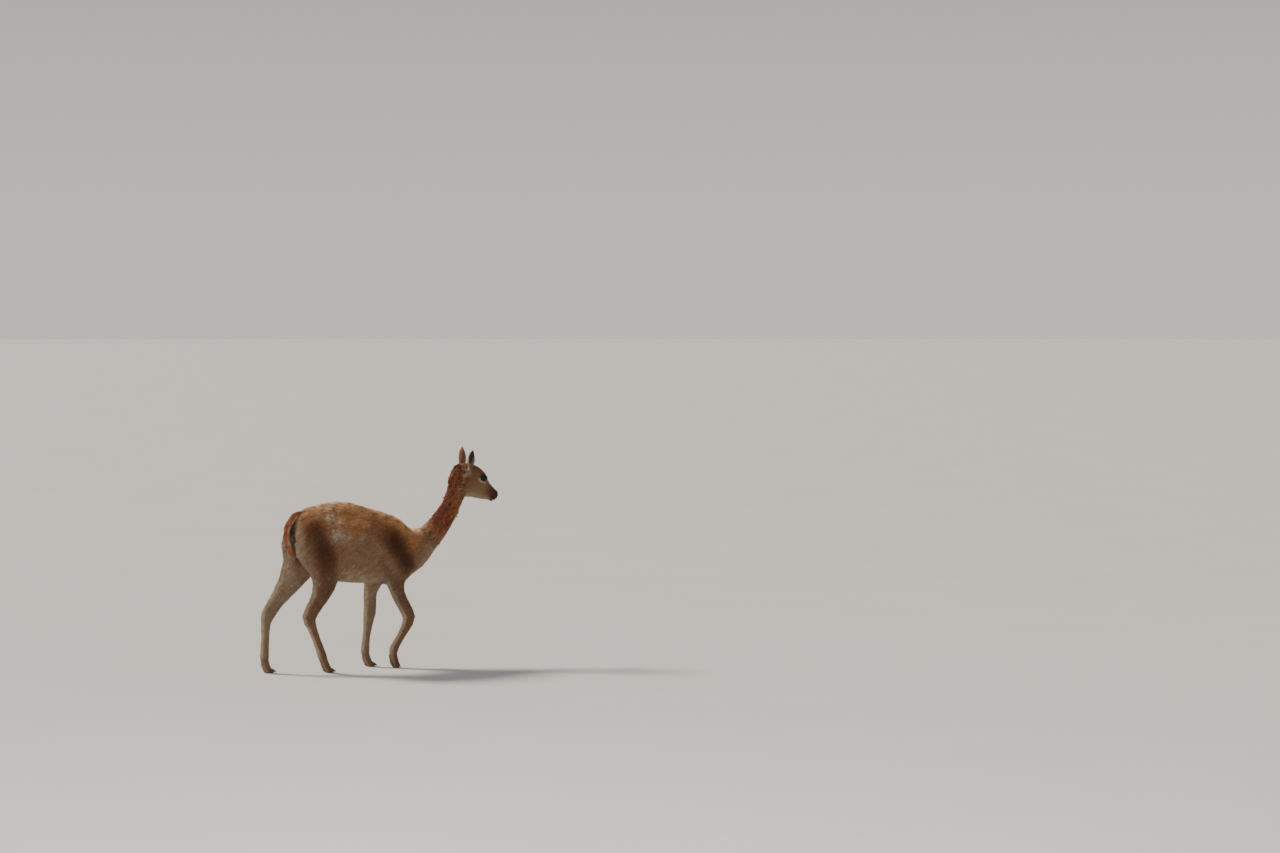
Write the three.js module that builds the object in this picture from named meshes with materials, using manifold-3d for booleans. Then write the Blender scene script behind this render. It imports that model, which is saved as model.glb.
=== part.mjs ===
// A vicuna at life size, standing in a slow walk: a still museum model in millimetres.
// +X is the way it walks, +Y its left side, +Z up, and the floor is z = 0.
// The flesh is modelled whole from lofted limbs and then parted with thin cuts.
import * as THREE from "three";
import { mergeVertices } from "three/addons/utils/BufferGeometryUtils.js";
import Module from "manifold-3d";

const wasm = await Module();
wasm.setup();

// Driving sizes
const GAP = 0.3; // between two nodes that touch
const CLEAR = 0.35; // between a piece and the carrier that it is trimmed to
const BACK_HEIGHT = 889; // top of the loins
const BELLY_HEIGHT = 452; // underside of the ribs
const FETLOCK_HEIGHT = 88;
const HEAD_PITCH = THREE.MathUtils.degToRad(30); // how far the face points below level
const HEAD_AT = [655, 0, 1005]; // where the skull turns on the neck
const BLEND = 50; // how wide two limbs run into one another
const CLEFT = { x: [-340, -290], y: [26, 66] }; // where the cleft under the tail fades out
const EYE_RADIUS = 16;
const EYE_AT = [122, 38, 47]; // in the head's own frame, mirrored for the right eye
const LID = 3.4; // thickness of the eyelids
const EAR_LENGTH = 112;
const EAR_WALL = 3.4;
const MOUTH_DEPTH = 6;
const WOOL_DEPTH = 9; // how far a clump of neck wool stands out
const WOOL_SPACING = 47; // between the middles of two clumps
const LOCK_LENGTH = 64; // of a lock on the tail
const RANDOM_SEED = 11;

// Small helpers

const { clamp, degToRad, smoothstep } = THREE.MathUtils;
const vec = (p) => new THREE.Vector3(...p);

function seededRandom(seed) {
  let state = seed;
  return () => {
    state = (state * 1664525 + 1013904223) % 4294967296;
    return state / 4294967296;
  };
}

// The value of a smooth curve through the numbers b and c, with neighbours a and d.
function cardinal(a, b, c, d, t) {
  const m0 = (c - a) / 2;
  const m1 = (d - b) / 2;
  return (
    (2 * t ** 3 - 3 * t ** 2 + 1) * b +
    (t ** 3 - 2 * t ** 2 + t) * m0 +
    (3 * t ** 2 - 2 * t ** 3) * c +
    (t ** 3 - t ** 2) * m1
  );
}

// Rows of numbers, with smooth rows put between them.
function smoothRows(rows, steps) {
  const made = [];
  for (let i = 0; i < rows.length - 1; i++) {
    const around = [i - 1, i, i + 1, i + 2].map((n) => rows[clamp(n, 0, rows.length - 1)]);
    for (let k = 0; k < steps; k++)
      made.push(rows[i].map((_, n) => cardinal(...around.map((row) => row[n]), k / steps)));
  }
  made.push(rows.at(-1));
  return made;
}

// A closed geometry from rings of equal length, with one pole at each end.
function skinRings(rings, first, last) {
  const sides = rings[0].length;
  const points = [first, ...rings.flat(), last];
  const index = [];
  const at = (ring, side) => 1 + ring * sides + (side % sides);
  for (let s = 0; s < sides; s++) {
    index.push(0, at(0, s + 1), at(0, s));
    index.push(points.length - 1, at(rings.length - 1, s), at(rings.length - 1, s + 1));
    for (let r = 0; r < rings.length - 1; r++) {
      index.push(at(r, s), at(r, s + 1), at(r + 1, s));
      index.push(at(r, s + 1), at(r + 1, s + 1), at(r + 1, s));
    }
  }
  return new THREE.BufferGeometry().setFromPoints(points).setIndex(index);
}

// A solid from a closed geometry, turned the right way out.
function solid(geometry) {
  const bare = geometry.clone();
  bare.deleteAttribute("normal");
  bare.deleteAttribute("uv");
  const merged = mergeVertices(bare, 1e-4);
  const vertProperties = new Float32Array(merged.attributes.position.array);
  const triVerts = new Uint32Array(merged.index.array);
  const make = () => new wasm.Manifold(new wasm.Mesh({ numProp: 3, vertProperties, triVerts }));
  const made = make();
  if (made.volume() > 0) return made;
  for (let i = 0; i < triVerts.length; i += 3)
    [triVerts[i + 1], triVerts[i + 2]] = [triVerts[i + 2], triVerts[i + 1]];
  return make();
}

const join = (solids) => solids.reduce((all, one) => all.add(one));
const largest = (one) => one.decompose().reduce((a, b) => (b.volume() > a.volume() ? b : a));

// The rings of a limb through rows of [x, y, z, up, down, side, squareness, egg]. A row is the middle of
// its ring, the reach to the top or front, to the bottom or back and to each side, how boxy the ring is,
// and how much narrower its top is.
function ringsOf(rows, { sides = 16, steps = 2, level = null, dome = 0.5, place = null } = {}) {
  const smooth = smoothRows(rows, steps);
  const middles = smooth.map((row) => vec(row.slice(0, 3)));
  const rings = smooth.map(([, , , up, down, side, squareness, egg], i) => {
    const step = middles[Math.min(i + 1, middles.length - 1)].clone().sub(middles[Math.max(i - 1, 0)]);
    const along = level ? vec(level) : step.normalize();
    const left = new THREE.Vector3(0, 1, 0);
    left.addScaledVector(along, -left.dot(along)).normalize();
    const top = along.clone().cross(left);
    const middle = middles[i].clone();
    if (place) {
      middle.applyMatrix4(place);
      for (const way of [along, left, top]) way.transformDirection(place);
    }
    return { middle, along, left, top, up, down, side, squareness, egg };
  });
  return Object.assign(rings, { sides, dome });
}

const domeHeight = (rings, ring) => rings.dome * Math.min(ring.up, ring.side);

// Roughly how far the point x, y, z lies outside a limb, negative inside it.
function outside(rings, x, y, z) {
  let nearest = Infinity;
  let found = 0;
  for (let i = 0; i < rings.length - 1; i++) {
    const a = rings[i].middle;
    const b = rings[i + 1].middle;
    const run = [b.x - a.x, b.y - a.y, b.z - a.z];
    const from = [x - a.x, y - a.y, z - a.z];
    const square = run[0] ** 2 + run[1] ** 2 + run[2] ** 2;
    const along = (from[0] * run[0] + from[1] * run[1] + from[2] * run[2]) / square;
    const share = Math.min(Math.max(along, 0), 1);
    const away = Math.hypot(...from.map((v, axis) => v - run[axis] * share));
    if (away < nearest) {
      nearest = away;
      found = i + share;
    }
  }
  const near = rings[Math.floor(found)];
  const next = rings[Math.ceil(found)];
  const share = found - Math.floor(found);
  const mix = (key) => near[key] * (1 - share) + next[key] * share;
  const from = new THREE.Vector3(x, y, z).sub(near.middle.clone().lerp(next.middle, share));
  const top = from.dot(near.top) * (1 - share) + from.dot(next.top) * share;
  const left = from.dot(near.left) * (1 - share) + from.dot(next.left) * share;
  const reach = top > 0 ? mix("up") : mix("down");
  const half = mix("side") * (1 - mix("egg") * clamp(top / reach, -1, 1));
  const power = mix("squareness");
  const across = (Math.abs(left / half) ** power + Math.abs(top / reach) ** power) ** (1 / power);
  const atEnd = found === 0 || found === rings.length - 1;
  const past = atEnd ? Math.abs(from.dot(near.along)) : 0;
  const size = Math.max(Math.hypot(across, past / domeHeight(rings, near)), 0.05);
  return Math.hypot(left, top, past) * (1 - 1 / size);
}

// How far a point lies outside several limbs that run into one another over the width BLEND.
function outsideAll(limbs, x, y, z) {
  return limbs
    .map((rings) => outside(rings, x, y, z))
    .reduce((a, b) => {
      const overlap = Math.max(BLEND - Math.abs(a - b), 0);
      return Math.min(a, b) - overlap ** 2 / (4 * BLEND);
    });
}

// A limb's solid, with a rounded end past its first and its last ring.
function limbSolid(rings, grow = 0) {
  const outline = (ring, shift, scale) =>
    Array.from({ length: rings.sides }, (_, s) => {
      const turn = (2 * Math.PI * (s + 0.5)) / rings.sides;
      const power = 2 / ring.squareness;
      const c = Math.sign(Math.cos(turn)) * Math.abs(Math.cos(turn)) ** power;
      const z = Math.sign(Math.sin(turn)) * Math.abs(Math.sin(turn)) ** power;
      return ring.middle
        .clone()
        .addScaledVector(ring.along, shift)
        .addScaledVector(ring.left, c * (ring.side + grow) * (1 - ring.egg * z) * scale)
        .addScaledVector(ring.top, z * ((z > 0 ? ring.up : ring.down) + grow) * scale);
    });
  const first = rings[0];
  const last = rings.at(-1);
  const height = (ring) => domeHeight(rings, ring) + grow;
  const outlines = rings.map((ring) => outline(ring, 0, 1));
  for (const angle of [0.55, 1.1]) {
    outlines.unshift(outline(first, -height(first) * Math.sin(angle), Math.cos(angle)));
    outlines.push(outline(last, height(last) * Math.sin(angle), Math.cos(angle)));
  }
  const pole = (ring, way) => ring.middle.clone().addScaledVector(ring.along, way * height(ring));
  return solid(skinRings(outlines, pole(first, -1), pole(last, 1)));
}

// Limbs joined, and then each vertex drawn in rounds to where they run into one another without a crease.
// The cleft under the tail stays open.
const DRAW = { rounds: 3, least: -3, most: 8 };

function blended(limbs, grow = 0) {
  const { vertProperties, triVerts } = join(limbs.map((rings) => limbSolid(rings))).getMesh();
  const points = new Float32Array(vertProperties);
  const step = 2; // to each side, where the slope is felt
  for (let i = 0; i < points.length; i += 3) {
    for (let round = 0; round < DRAW.rounds; round++) {
      const [x, y, z] = points.subarray(i, i + 3);
      const far = outsideAll(limbs, x, y, z) - grow;
      const slope = [
        outsideAll(limbs, x + step, y, z) - outsideAll(limbs, x - step, y, z),
        outsideAll(limbs, x, y + step, z) - outsideAll(limbs, x, y - step, z),
        outsideAll(limbs, x, y, z + step) - outsideAll(limbs, x, y, z - step),
      ];
      const steep = Math.max(Math.hypot(...slope), 2 * step);
      const free = Math.max(smoothstep(x, ...CLEFT.x), smoothstep(Math.abs(y), ...CLEFT.y));
      const move = (clamp(-far, DRAW.least, DRAW.most) * free) / steep;
      for (const axis of [0, 1, 2]) points[i + axis] += slope[axis] * move;
    }
  }
  return new wasm.Manifold(new wasm.Mesh({ numProp: 3, vertProperties: points, triVerts }));
}

// An ellipsoid of half sizes [x, y, z] at a place, turned by [x, y, z] degrees and then by a frame.
function ellipsoid(at, half, { turn = [0, 0, 0], sides = 14, stacks = 9, frame = null } = {}) {
  const geometry = new THREE.SphereGeometry(1, sides, stacks).scale(...half);
  const angles = turn.map(degToRad);
  geometry.applyMatrix4(new THREE.Matrix4().makeRotationFromEuler(new THREE.Euler(...angles)));
  geometry.translate(...at);
  return solid(frame ? geometry.applyMatrix4(frame) : geometry);
}

// A box from one corner to the other.
function block(low, high, frame = null) {
  const size = high.map((v, i) => v - low[i]);
  const geometry = new THREE.BoxGeometry(...size).translate(...low.map((v, i) => v + size[i] / 2));
  return solid(frame ? geometry.applyMatrix4(frame) : geometry);
}

// Trunk. Its rings stand upright, so each row is [x, top, bottom, half width, squareness, egg].

const TRUNK = [
  [-352, 782, 716, 34, 2.1, 0.0],
  [-342, 806, 690, 58, 2.1, 0.0],
  [-318, 834, 646, 84, 2.2, 0.06],
  [-270, 868, 590, 106, 2.2, 0.12],
  [-200, BACK_HEIGHT - 3, 540, 117, 2.2, 0.14],
  [-125, BACK_HEIGHT, 494, 121, 2.2, 0.15],
  [-50, 882, 464, 127, 2.2, 0.14],
  [40, 858, BELLY_HEIGHT, 134, 2.2, 0.14],
  [130, 833, BELLY_HEIGHT - 4, 136, 2.2, 0.16],
  [220, 806, BELLY_HEIGHT - 2, 128, 2.2, 0.2],
  [300, 768, 468, 114, 2.15, 0.2],
  [370, 734, 510, 96, 2.1, 0.12],
  [430, 712, 580, 66, 2.1, 0.0],
  [468, 696, 624, 34, 2.1, 0.0],
];
const trunk = ringsOf(
  TRUNK.map(([x, top, bottom, side, squareness, egg]) => {
    const middle = bottom + (top - bottom) * 0.46;
    return [x, 0, middle, top - middle, middle - bottom, side, squareness, egg];
  }),
  { sides: 24, dome: 0.35, level: [1, 0, 0] },
);

// Neck. Its rows are [x, z, back reach, front reach, half width] of the core under the wool.

const NECK = [
  [372, 640, 74, 92, 84],
  [440, 672, 62, 84, 72],
  [500, 712, 55, 70, 57],
  [548, 758, 49, 58, 47],
  [588, 810, 45, 52, 42],
  [618, 866, 43, 49, 40],
  [638, 922, 42, 47, 40],
  [652, 975, 42, 46, 42],
];
const neck = ringsOf(
  NECK.map(([x, z, back, front, side]) => [x, 0, z, back, front, side, 2.05, 0.06]),
  { sides: 16, dome: 0.6 },
);

// Legs. A line is the middle of the flesh through its named places as [x, y, z], with y outwards.
// Girths belong to the same places, as [front reach, back reach, half width].

const HIND_GIRTHS = {
  hip: [70, 84, 26],
  rump: [92, 122, 42],
  thigh: [106, 128, 47],
  stifle: [96, 98, 48],
  gaskin: [63, 61, 38],
  shin: [39, 41, 28],
  hock: [32, 40, 25],
  cannonTop: [22, 26, 20],
  cannon: [19, 21, 17],
  fetlock: [21, 23, 21],
  pastern: [18, 20, 20],
};

const FORE_GIRTHS = {
  shoulder: [60, 74, 30],
  arm: [66, 82, 38],
  elbow: [52, 58, 36],
  forearm: [37, 39, 29],
  lowForearm: [33, 32, 26],
  knee: [34, 31, 26],
  cannonTop: [24, 24, 21],
  cannon: [18, 19, 17],
  fetlock: [20, 22, 21],
  pastern: [17, 19, 20],
};

const LEGS = {
  leg_hind_right: {
    side: -1,
    girths: HIND_GIRTHS,
    line: {
      hip: [-244, 50, 782],
      rump: [-243, 66, 716],
      thigh: [-242, 77, 650],
      stifle: [-210, 84, 556],
      gaskin: [-211, 86, 452],
      shin: [-256, 82, 360],
      hock: [-290, 79, 293],
      cannonTop: [-278, 78, 246],
      cannon: [-248, 77, 170],
      fetlock: [-216, 76, FETLOCK_HEIGHT],
      pastern: [-206, 76, 56],
    },
    toes: [[-212, 84], [-201, 44], [-187, 14], [-169, 10.5]],
    nail: [[-171, 17], [-146, 5]],
  },
  leg_hind_left: {
    side: 1,
    girths: HIND_GIRTHS,
    line: {
      hip: [-246, 50, 782],
      rump: [-246, 66, 716],
      thigh: [-247, 77, 650],
      stifle: [-268, 84, 560],
      gaskin: [-330, 86, 458],
      shin: [-398, 82, 374],
      hock: [-446, 79, 304],
      cannonTop: [-463, 78, 256],
      cannon: [-469, 77, 172],
      fetlock: [-474, 76, FETLOCK_HEIGHT],
      pastern: [-471, 76, 56],
    },
    toes: [[-473, 84], [-470, 44], [-457, 14], [-439, 10.5]],
    nail: [[-441, 17], [-416, 5]],
  },
  leg_front_left: {
    side: 1,
    girths: FORE_GIRTHS,
    line: {
      shoulder: [292, 62, 668],
      arm: [272, 72, 590],
      elbow: [205, 76, 500],
      forearm: [157, 76, 410],
      lowForearm: [150, 74, 345],
      knee: [144, 72, 284],
      cannonTop: [135, 70, 226],
      cannon: [125, 69, 160],
      fetlock: [117, 68, FETLOCK_HEIGHT],
      pastern: [121, 68, 56],
    },
    toes: [[118, 84], [123, 44], [138, 14], [156, 10.5]],
    nail: [[154, 17], [179, 5]],
  },
  leg_front_right: {
    side: -1,
    girths: FORE_GIRTHS,
    line: {
      shoulder: [298, 62, 668],
      arm: [286, 72, 590],
      elbow: [228, 76, 500],
      forearm: [232, 76, 405],
      lowForearm: [272, 74, 325],
      knee: [302, 72, 265],
      cannonTop: [284, 70, 210],
      cannon: [250, 69, 155],
      fetlock: [218, 68, 106],
      pastern: [210, 68, 76],
    },
    toes: [[213, 102], [210, 60], [218, 27], [226, 7.5]],
    nail: [[230, 26], [244, 4]],
  },
};
const TOE_GIRTHS = [14, 17, 16.5, 12]; // down the toe
const TOE_SPREAD = [4, 12, 15, 15.5]; // of each toe from the middle of the foot
const NAIL = { thick: 7.5, half: 8, tip: 2.4, arch: 8 };

function legRings({ side, girths, line }) {
  const rows = Object.keys(line).map((place) => {
    const [x, y, z] = line[place];
    const [front, back, half] = girths[place];
    return [x, y * side, z, front, back, half, 2.1, 0];
  });
  return ringsOf(rows, { sides: 12 });
}

function toeRings({ side, line, toes }, which) {
  const middle = line.fetlock[1] * side;
  const rows = toes.map(([x, z], i) => [
    x,
    middle + which * TOE_SPREAD[i],
    z,
    TOE_GIRTHS[i],
    TOE_GIRTHS[i],
    TOE_GIRTHS[i] * 0.86,
    2.2,
    0,
  ]);
  return ringsOf(rows, { sides: 10, steps: 1, dome: 0.9 });
}

// A nail stands out of the end of its toe, between the two places that its leg names.
function nailRings({ side, line, nail }, which) {
  const [[x0, z0], [x1, z1]] = nail;
  const y = line.fetlock[1] * side + which * TOE_SPREAD.at(-1);
  const row = (share, thick, half) => [
    x0 + (x1 - x0) * share,
    y,
    z0 + (z1 - z0) * share + NAIL.arch * share * (1 - share),
    thick,
    thick,
    half,
    2,
    0,
  ];
  const rows = [
    row(0, NAIL.thick, NAIL.half),
    row(0.5, NAIL.thick * 0.75, NAIL.half * 0.8),
    row(1, NAIL.tip, NAIL.tip),
  ];
  return ringsOf(rows, { sides: 6, steps: 1, dome: 0.3 });
}

// Head, in a frame of its own: +X towards the nose, +Z towards the crown, and the neck joint at its origin.
// Its rows are [x, crown, throat, half width, egg].

const headPlace = new THREE.Matrix4().makeRotationY(HEAD_PITCH).setPosition(...HEAD_AT);
const HEAD = [
  [-8, 64, -44, 42, 0.05],
  [24, 84, -60, 51, 0.05],
  [62, 94, -74, 55, 0.02],
  [98, 92, -77, 55, -0.04],
  [128, 83, -70, 50, -0.08],
  [152, 69, -61, 41, -0.02],
  [178, 56, -50, 33, 0.06],
  [206, 48, -38, 29, 0.08],
  [232, 40, -26, 27, 0.04],
  [248, 33, -17, 24, 0.0],
];
const NOSE_DOME = 0.75;
const head = ringsOf(
  HEAD.map(([x, crown, throat, side, egg]) => {
    const middle = (crown + throat) / 2;
    return [x, 0, middle, crown - middle, middle - throat, side, 2.15, egg];
  }),
  { sides: 22, place: headPlace, dome: NOSE_DOME },
);
const MOUTH_LINE = [[282, -1], [262, -5], [242, -9], [220, -13], [202, -14], [190, -9]];
const MOUTH_GAP = 2.2;

const onHead = (at, half, options = {}) => ellipsoid(at, half, { ...options, frame: headPlace });
const onEye = (way, radius) => {
  const [x, y, z] = EYE_AT;
  return onHead([x, way * y, z], [radius, radius, radius], { sides: 12, stacks: 8 });
};
const bothSides = (make) => [make(1), make(-1)].flat();

// What stands out of the head.
function headForms(grow = 0) {
  const form = (at, half, turn) =>
    onHead(
      at,
      half.map((v) => v + grow),
      { turn, sides: 8, stacks: 6 },
    );
  const paired = bothSides((way) => [
    onEye(way, EYE_RADIUS + LID + grow),
    form([112, way * 27, 66], [36, 14, 15], [0, 14, way * 8]), // brow
    form([112, way * 37, 17], [44, 16, 15], [0, 8, way * -6]), // cheek bone
    form([74, way * 31, -24], [48, 18, 38], [0, 20, 0]), // jaw muscle
    form([243, way * 9, 3], [23, 16, 14], [0, 15, 0]), // upper lip
    form([244, way * 8.5, 24], [21, 13.5, 12.5], [0, 24, way * 8]), // wing of the nose
  ]);
  return [...paired, form([231, 0, -17], [23, 19, 11], [0, 18, 0])]; // chin
}

// The line of the mouth runs round the muzzle as a groove of even depth.
function mouthGroove() {
  const edge = (rise) => MOUTH_LINE.map(([x, z]) => new THREE.Vector2(x, z + rise));
  const shape = new THREE.Shape([...edge(-MOUTH_GAP / 2), ...edge(MOUTH_GAP / 2).reverse()]);
  const ribbon = new THREE.ExtrudeGeometry(shape, { depth: 90, bevelEnabled: false })
    .rotateX(Math.PI / 2)
    .translate(0, 45, 0)
    .applyMatrix4(headPlace);
  return solid(ribbon).subtract(limbSolid(head, -MOUTH_DEPTH));
}

// What is cut out of the head: nostrils, the openings of the lids, the sockets, the mouth and the cleft of
// the lip.
function headHollows() {
  const [x, y, z] = EYE_AT;
  const paired = bothSides((way) => [
    onHead([263, way * 15.5, 25], [8, 3.6, 3.2], { turn: [0, -38, way * 40], sides: 10, stacks: 7 }),
    onHead([x, way * (y + 23), z], [18.5, 25, 11.5], { turn: [0, 12, way * 8], sides: 12, stacks: 8 }),
    onEye(way, EYE_RADIUS + GAP),
  ]);
  return join([...paired, mouthGroove(), onHead([269, 0, 7], [5, 1.6, 9], { sides: 10, stacks: 7 })]);
}

// Ears. A cup of even wall that narrows to a point, in a frame of its own: +Z towards the tip and +X out of
// the cup. Its rows are [share of the length, radius of the cup, half of the angle that its wall goes round,
// lean].

const EAR = [
  [0.0, 11, 165, 0],
  [0.12, 15, 150, 0],
  [0.26, 20, 122, 1],
  [0.42, 22.5, 100, 2],
  [0.56, 22.3, 84, 3],
  [0.7, 20.3, 70, 4.5],
  [0.82, 17, 56, 6],
  [0.92, 12, 40, 8],
  [1.0, 3, 24, 10],
];
const EARS = {
  ear_left: { root: [692, 38, 1046], tip: [706, 58, 1160], opens: [0.9, 0.5, 0] },
  ear_right: { root: [692, -38, 1042], tip: [688, -82, 1140], opens: [0.15, -1, 0.2] },
};

function earSolid({ root, tip, opens }) {
  const spans = 8;
  const wallPoint = ([share, radius, half, lean], span, inset) => {
    const turn = degToRad(half) * ((2 * span) / spans - 1);
    const reach = Math.max(radius - inset, radius * 0.3);
    const x = -reach * Math.cos(turn) + radius * 0.4 + lean;
    return new THREE.Vector3(x, reach * Math.sin(turn), share * EAR_LENGTH);
  };
  // Each ring goes up the outside of the wall and back down the inside.
  const rings = EAR.map((row) => [
    ...Array.from({ length: spans + 1 }, (_, s) => wallPoint(row, s, 0)),
    ...Array.from({ length: spans + 1 }, (_, s) => wallPoint(row, spans - s, EAR_WALL)),
  ]);
  const end = (ring) => ring.reduce((sum, p) => sum.add(p), new THREE.Vector3()).divideScalar(ring.length);
  const up = vec(tip).sub(vec(root)).normalize();
  const open = vec(opens).addScaledVector(up, -vec(opens).dot(up)).normalize();
  const place = new THREE.Matrix4().makeBasis(open, up.clone().cross(open), up).setPosition(...root);
  return solid(skinRings(rings, end(rings[0]), end(rings.at(-1))).applyMatrix4(place));
}

// Tail: it hangs close behind the rump, as rows of [x, z, thickness, half width].

const TAIL = [
  [-290, 826, 20, 22],
  [-328, 820, 15, 21],
  [-360, 791, 12, 21],
  [-377, 746, 11, 21],
  [-378, 698, 10, 20],
  [-366, 656, 9, 17],
  [-348, 622, 7, 12],
];
const TAIL_ROWS = [0.16, 0.34, 0.52, 0.7, 0.88]; // shares of the tail's length
const TAIL_ACROSS = 4;
const TAIL_STEP = 0.86; // between two locks of a row, as an angle round the tail
const TAIL_LOCK_WIDTH = 25;
const tail = ringsOf(
  TAIL.map(([x, z, thick, side]) => [x, 0, z, thick, thick, side, 2, 0]),
  { sides: 8, steps: 1 },
);

const random = seededRandom(RANDOM_SEED);
const vary = (amount) => 1 + (2 * random() - 1) * amount;

// The place on a limb's skin at a share of its length and an angle from its top, with the way along and the
// way out there.
function placeOn(rings, share, angle, limbs = [rings]) {
  const found = clamp(share, 0, 1) * (rings.length - 1);
  const ring = rings[Math.min(Math.floor(found), rings.length - 2)];
  const next = rings[Math.min(Math.floor(found), rings.length - 2) + 1];
  const part = found - Math.min(Math.floor(found), rings.length - 2);
  const mixed = (key) => ring[key].clone().lerp(next[key], part);
  const reach = (key) => ring[key] * (1 - part) + next[key] * part;
  const up = Math.cos(angle) > 0 ? reach("up") : reach("down");
  const out = mixed("top").multiplyScalar(Math.cos(angle) / up);
  out.addScaledVector(mixed("left"), Math.sin(angle) / reach("side")).normalize();
  const at = mixed("middle").addScaledVector(mixed("top"), Math.cos(angle) * up);
  at.addScaledVector(mixed("left"), Math.sin(angle) * reach("side"));
  at.addScaledVector(out, -outsideAll(limbs, ...at));
  return { at, out, along: mixed("along") };
}

// Rounded clumps of wool, set close on the back and the sides of the neck, in rows from one share of its
// length to another. They are lower over the last bit of that length and near the two edges.
const WOOL = { from: 0.28, to: 0.96, half: degToRad(114), fade: 0.12, edge: 0.7, rows: 0.86 };
const CLUMP = { half: 0.62, along: 0.72, sides: 6, stacks: 4 };

function woolClumps(limbs) {
  const length = neck.slice(1).reduce((sum, ring, i) => sum + ring.middle.distanceTo(neck[i].middle), 0);
  const rows = Math.round((length * (WOOL.to - WOOL.from)) / (WOOL_SPACING * WOOL.rows));
  const clumps = [];
  for (let row = 0; row <= rows; row++) {
    const share = WOOL.from + ((WOOL.to - WOOL.from) * row) / rows;
    const girth = neck[Math.round(share * (neck.length - 1))].side;
    const across = Math.round((2 * WOOL.half * girth) / WOOL_SPACING);
    for (let n = 0; n <= across; n++) {
      const angle = WOOL.half * ((2 * (n + 0.5 * (row % 2))) / (across + 0.5) - 1) + 0.12 * (random() - 0.5);
      const placed = placeOn(neck, share + 0.02 * (random() - 0.5), angle, limbs);
      const edge = clamp((WOOL.half - Math.abs(angle)) / WOOL.edge, 0.35, 1);
      const end = clamp(Math.min(share - WOOL.from, WOOL.to - share) / WOOL.fade, 0.45, 1);
      const height = WOOL_DEPTH * edge * end * vary(0.22);
      clumps.push({ ...placed, height, size: WOOL_SPACING * vary(0.12) });
    }
  }
  return clumps;
}

function clumpSolid({ at, out, along, height, size }, grow = 0) {
  const geometry = new THREE.SphereGeometry(1, CLUMP.sides, CLUMP.stacks);
  geometry.scale(size * CLUMP.half + grow, height + grow, size * CLUMP.along + grow);
  const side = along.clone().cross(out).normalize();
  const place = new THREE.Matrix4().makeBasis(side, out, side.clone().cross(out)).setPosition(...at);
  return solid(geometry.applyMatrix4(place));
}

// Flat locks that taper and overlap down the outer side of the tail, past the end of its core.
function lockSolid({ at, out, along }, length, width) {
  const side = along.clone().cross(out).normalize();
  // Share of the length, rise off the tail, share of the width and half of the thickness.
  const rows = [
    [-0.05, -3, 0.8, 3.4],
    [0.55, 5, 0.9, 3],
  ];
  const point = (share, rise) => at.clone().addScaledVector(along, share * length).addScaledVector(out, rise);
  const rings = rows.map(([share, rise, half, thick]) => {
    const middle = point(share, rise);
    return [
      middle.clone().addScaledVector(side, (half * width) / 2),
      middle.clone().addScaledVector(out, thick),
      middle.clone().addScaledVector(side, (-half * width) / 2),
      middle.clone().addScaledVector(out, -thick),
    ];
  });
  return solid(skinRings(rings, point(-0.2, -6), point(1, 3)));
}

function tailSolid() {
  const locks = [];
  for (const [row, share] of TAIL_ROWS.entries())
    for (let n = 0; n < TAIL_ACROSS; n++) {
      const turn = (n + 0.5 * (row % 2) - (TAIL_ACROSS - 0.5) / 2) * TAIL_STEP;
      const length = LOCK_LENGTH * vary(0.15);
      locks.push(lockSolid(placeOn(tail, share, Math.PI + turn), length, TAIL_LOCK_WIDTH * vary(0.1)));
    }
  return join([limbSolid(tail), ...locks]);
}

// Parting

// A thin cut square to `normal`, from one place on the plane, with a reach along the body and to each side.
function cut(at, normal, reach, half = 200) {
  const up = vec(normal).normalize();
  const side = new THREE.Vector3(0, 1, 0);
  const place = new THREE.Matrix4().makeBasis(side.clone().cross(up), side, up).setPosition(...at);
  return block([-reach[0], -half, -GAP / 2], [reach[1], half, GAP / 2], place);
}

const CUTS = {
  head: cut([668, 0, 952], [0.863, 0, 0.508], [170, 170]),
  neck: cut([480, 0, 686], [0.77, 0, 0.64], [200, 200]),
  hind: cut([-200, 0, 508], [0.55, 0, 0.835], [260, 150]),
  fore: cut([190, 0, 428], [0, 0, 1], [130, 140]),
};
const SEEDS = {
  torso: [0, 0, 650],
  neck: [600, 0, 840],
  head: [750, 0, 950],
  leg_hind_right: [-250, -80, 360],
  leg_hind_left: [-398, 80, 374],
  leg_front_left: [150, 74, 345],
  leg_front_right: [272, -74, 325],
};

const legLofts = Object.values(LEGS).map(legRings);
const toeLofts = Object.values(LEGS).flatMap((leg) => [toeRings(leg, 1), toeRings(leg, -1)]);
const limbs = [trunk, neck, head, ...legLofts];
const wool = woolClumps(limbs);
const floor = block([-1000, -500, -200], [1200, 500, 0]); // all that lies below the ground

function bodySolid(grow = 0) {
  const toes = toeLofts.map((rings) => limbSolid(rings, grow));
  const clumps = wool.map((clump) => clumpSolid(clump, grow));
  return join([blended(limbs, grow), ...toes, ...headForms(grow), ...clumps]).subtract(headHollows());
}

const flesh = bodySolid().subtract(floor);
const envelope = bodySolid(CLEAR);
const pieces = flesh.subtract(join(Object.values(CUTS))).decompose();

const model = new THREE.Group();

function addNode(name, made, colour, roughness = 0.9) {
  const { vertProperties, triVerts } = made.getMesh();
  const geometry = new THREE.BufferGeometry()
    .setAttribute("position", new THREE.BufferAttribute(new Float32Array(vertProperties), 3))
    .setIndex(new THREE.BufferAttribute(new Uint32Array(triVerts), 1));
  geometry.computeVertexNormals();
  const material = new THREE.MeshStandardMaterial({ color: colour, roughness, metalness: 0 });
  const mesh = new THREE.Mesh(geometry, material);
  mesh.name = name;
  model.add(mesh);
}

const COAT = 0xa87650;
const NAIL_COLOUR = 0x2b2420;
const EYE_COLOUR = 0x14100d;

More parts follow.
